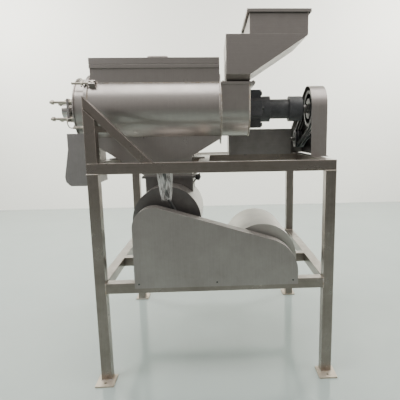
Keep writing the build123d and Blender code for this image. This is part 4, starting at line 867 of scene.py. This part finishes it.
# ---------------------------------------------------------------- camera, light and floor
def set_camera():
    """A camera at chest height, turned and tipped by angles in radians."""
    yaw, pitch, roll = 0.0442, 0.1642, 0.0141
    ahead = Vector((math.sin(yaw) * math.cos(pitch), math.cos(yaw) * math.cos(pitch), -math.sin(pitch)))
    right = Vector((math.cos(yaw), -math.sin(yaw), 0))
    down = ahead.cross(right)
    across = right * math.cos(roll) + down * math.sin(roll)
    below = -right * math.sin(roll) + down * math.cos(roll)
    data = bpy.data.cameras.new("camera")
    data.sensor_width = 36
    data.lens = 35.34
    data.shift_x = -0.0788
    data.clip_end = 60
    camera = link_object("camera", data)
    turn = Matrix((across, -below, -ahead)).transposed().to_4x4()
    camera.matrix_world = Matrix.Translation((0.002, -2.3466, 1.2112)) @ turn
    bpy.context.scene.camera = camera


def soft_light(name, place, target, width, height, power, colour=(1, 1, 1)):
    data = bpy.data.lights.new(name, "AREA")
    data.shape = "RECTANGLE"
    data.size, data.size_y = width, height
    data.energy = power
    data.color = colour
    light = link_object(name, data)
    direction = Vector(target) - Vector(place)
    light.matrix_world = Matrix.Translation(place) @ direction.to_track_quat("-Z", "Y").to_matrix().to_4x4()
    return light


def set_studio():
    """Soft overhead and window light, a world darker in front than behind, a pale floor and wall."""
    soft_light("overhead", (0, -0.6, 4.4), (0, 0, 1), 5.0, 3.0, 190, (1, 0.985, 0.96))
    soft_light("left window", (-4.2, -2.0, 2.6), (0, 0, 1), 2.5, 2.5, 150, (0.98, 0.99, 1))
    soft_light("right window", (4.4, -1.6, 2.4), (0, 0, 0.9), 2.2, 2.6, 95, (1, 0.98, 0.95))
    for name, side in (("wall wash left", -1), ("wall wash right", 1)):
        place, target = (3.4 * side, 2.2, 3.6), (1.6 * side, WALL_Y, 1.4)
        soft_light(name, place, target, 2.4, 1.2, 230, (1, 0.985, 0.93))
    world = bpy.data.worlds.new("studio")
    world.use_nodes = True
    tree = world.node_tree
    direction = node(tree, "ShaderNodeTexCoord").outputs["Generated"]
    parts = node(tree, "ShaderNodeSeparateXYZ", {0: direction}).outputs
    rise = spread(tree, parts["Z"], -0.2, 0.6, 0.0, 1.0)
    behind = spread(tree, parts["Y"], -0.5, 0.5, 0.0, 1.0)
    front_tone = mix_colour(tree, rise, (0.13, 0.122, 0.118, 1), (0.50, 0.49, 0.47, 1))
    back_tone = mix_colour(tree, rise, (0.92, 0.91, 0.85, 1), (1.0, 0.99, 0.93, 1))
    background = tree.nodes["Background"].inputs
    tree.links.new(mix_colour(tree, behind, front_tone, back_tone), background["Color"])
    background["Strength"].default_value = 1.15
    bpy.context.scene.world = world
    left, right = -FLOOR_REACH, FLOOR_REACH
    floor = quad("floor", [(left, left, 0), (right, left, 0), (right, WALL_Y, 0), (left, WALL_Y, 0)])
    corners = [(left, WALL_Y, 0), (right, WALL_Y, 0), (right, WALL_Y, WALL_TOP), (left, WALL_Y, WALL_TOP)]
    wall = quad("backdrop", corners)
    floor_tone = ((0.29, 0.345, 0.33, 1), (0.34, 0.395, 0.375, 1))
    wall_tone = ((0.90, 0.895, 0.83, 1), (0.93, 0.925, 0.865, 1))
    floor.data.materials.append(plain_finish("pale floor", *floor_tone, 0.14))
    wall.data.materials.append(plain_finish("pale wall", *wall_tone, 0.7))


def quad(name, corners):
    return mesh_object(name, corners, [(0, 1, 2, 3)], None)


def plain_finish(name, first, second, roughness):
    material, tree, shader = start_material(name)
    clouds = noise(tree, object_place(tree), 1.6, 4.0)
    tree.links.new(mix_colour(tree, clouds, first, second), shader.inputs["Base Color"])
    shader.inputs["Roughness"].default_value = roughness
    return material


set_camera()
supply_cable()
set_studio()
finish_cad()
frame_welds()
chamber_welds()
drum_welds()
hopper_welds()
rail_caps()
guard_painted_shade()
rod_washers()
wire_handle()
mill_latch()
cable_film()
flange_bolts()
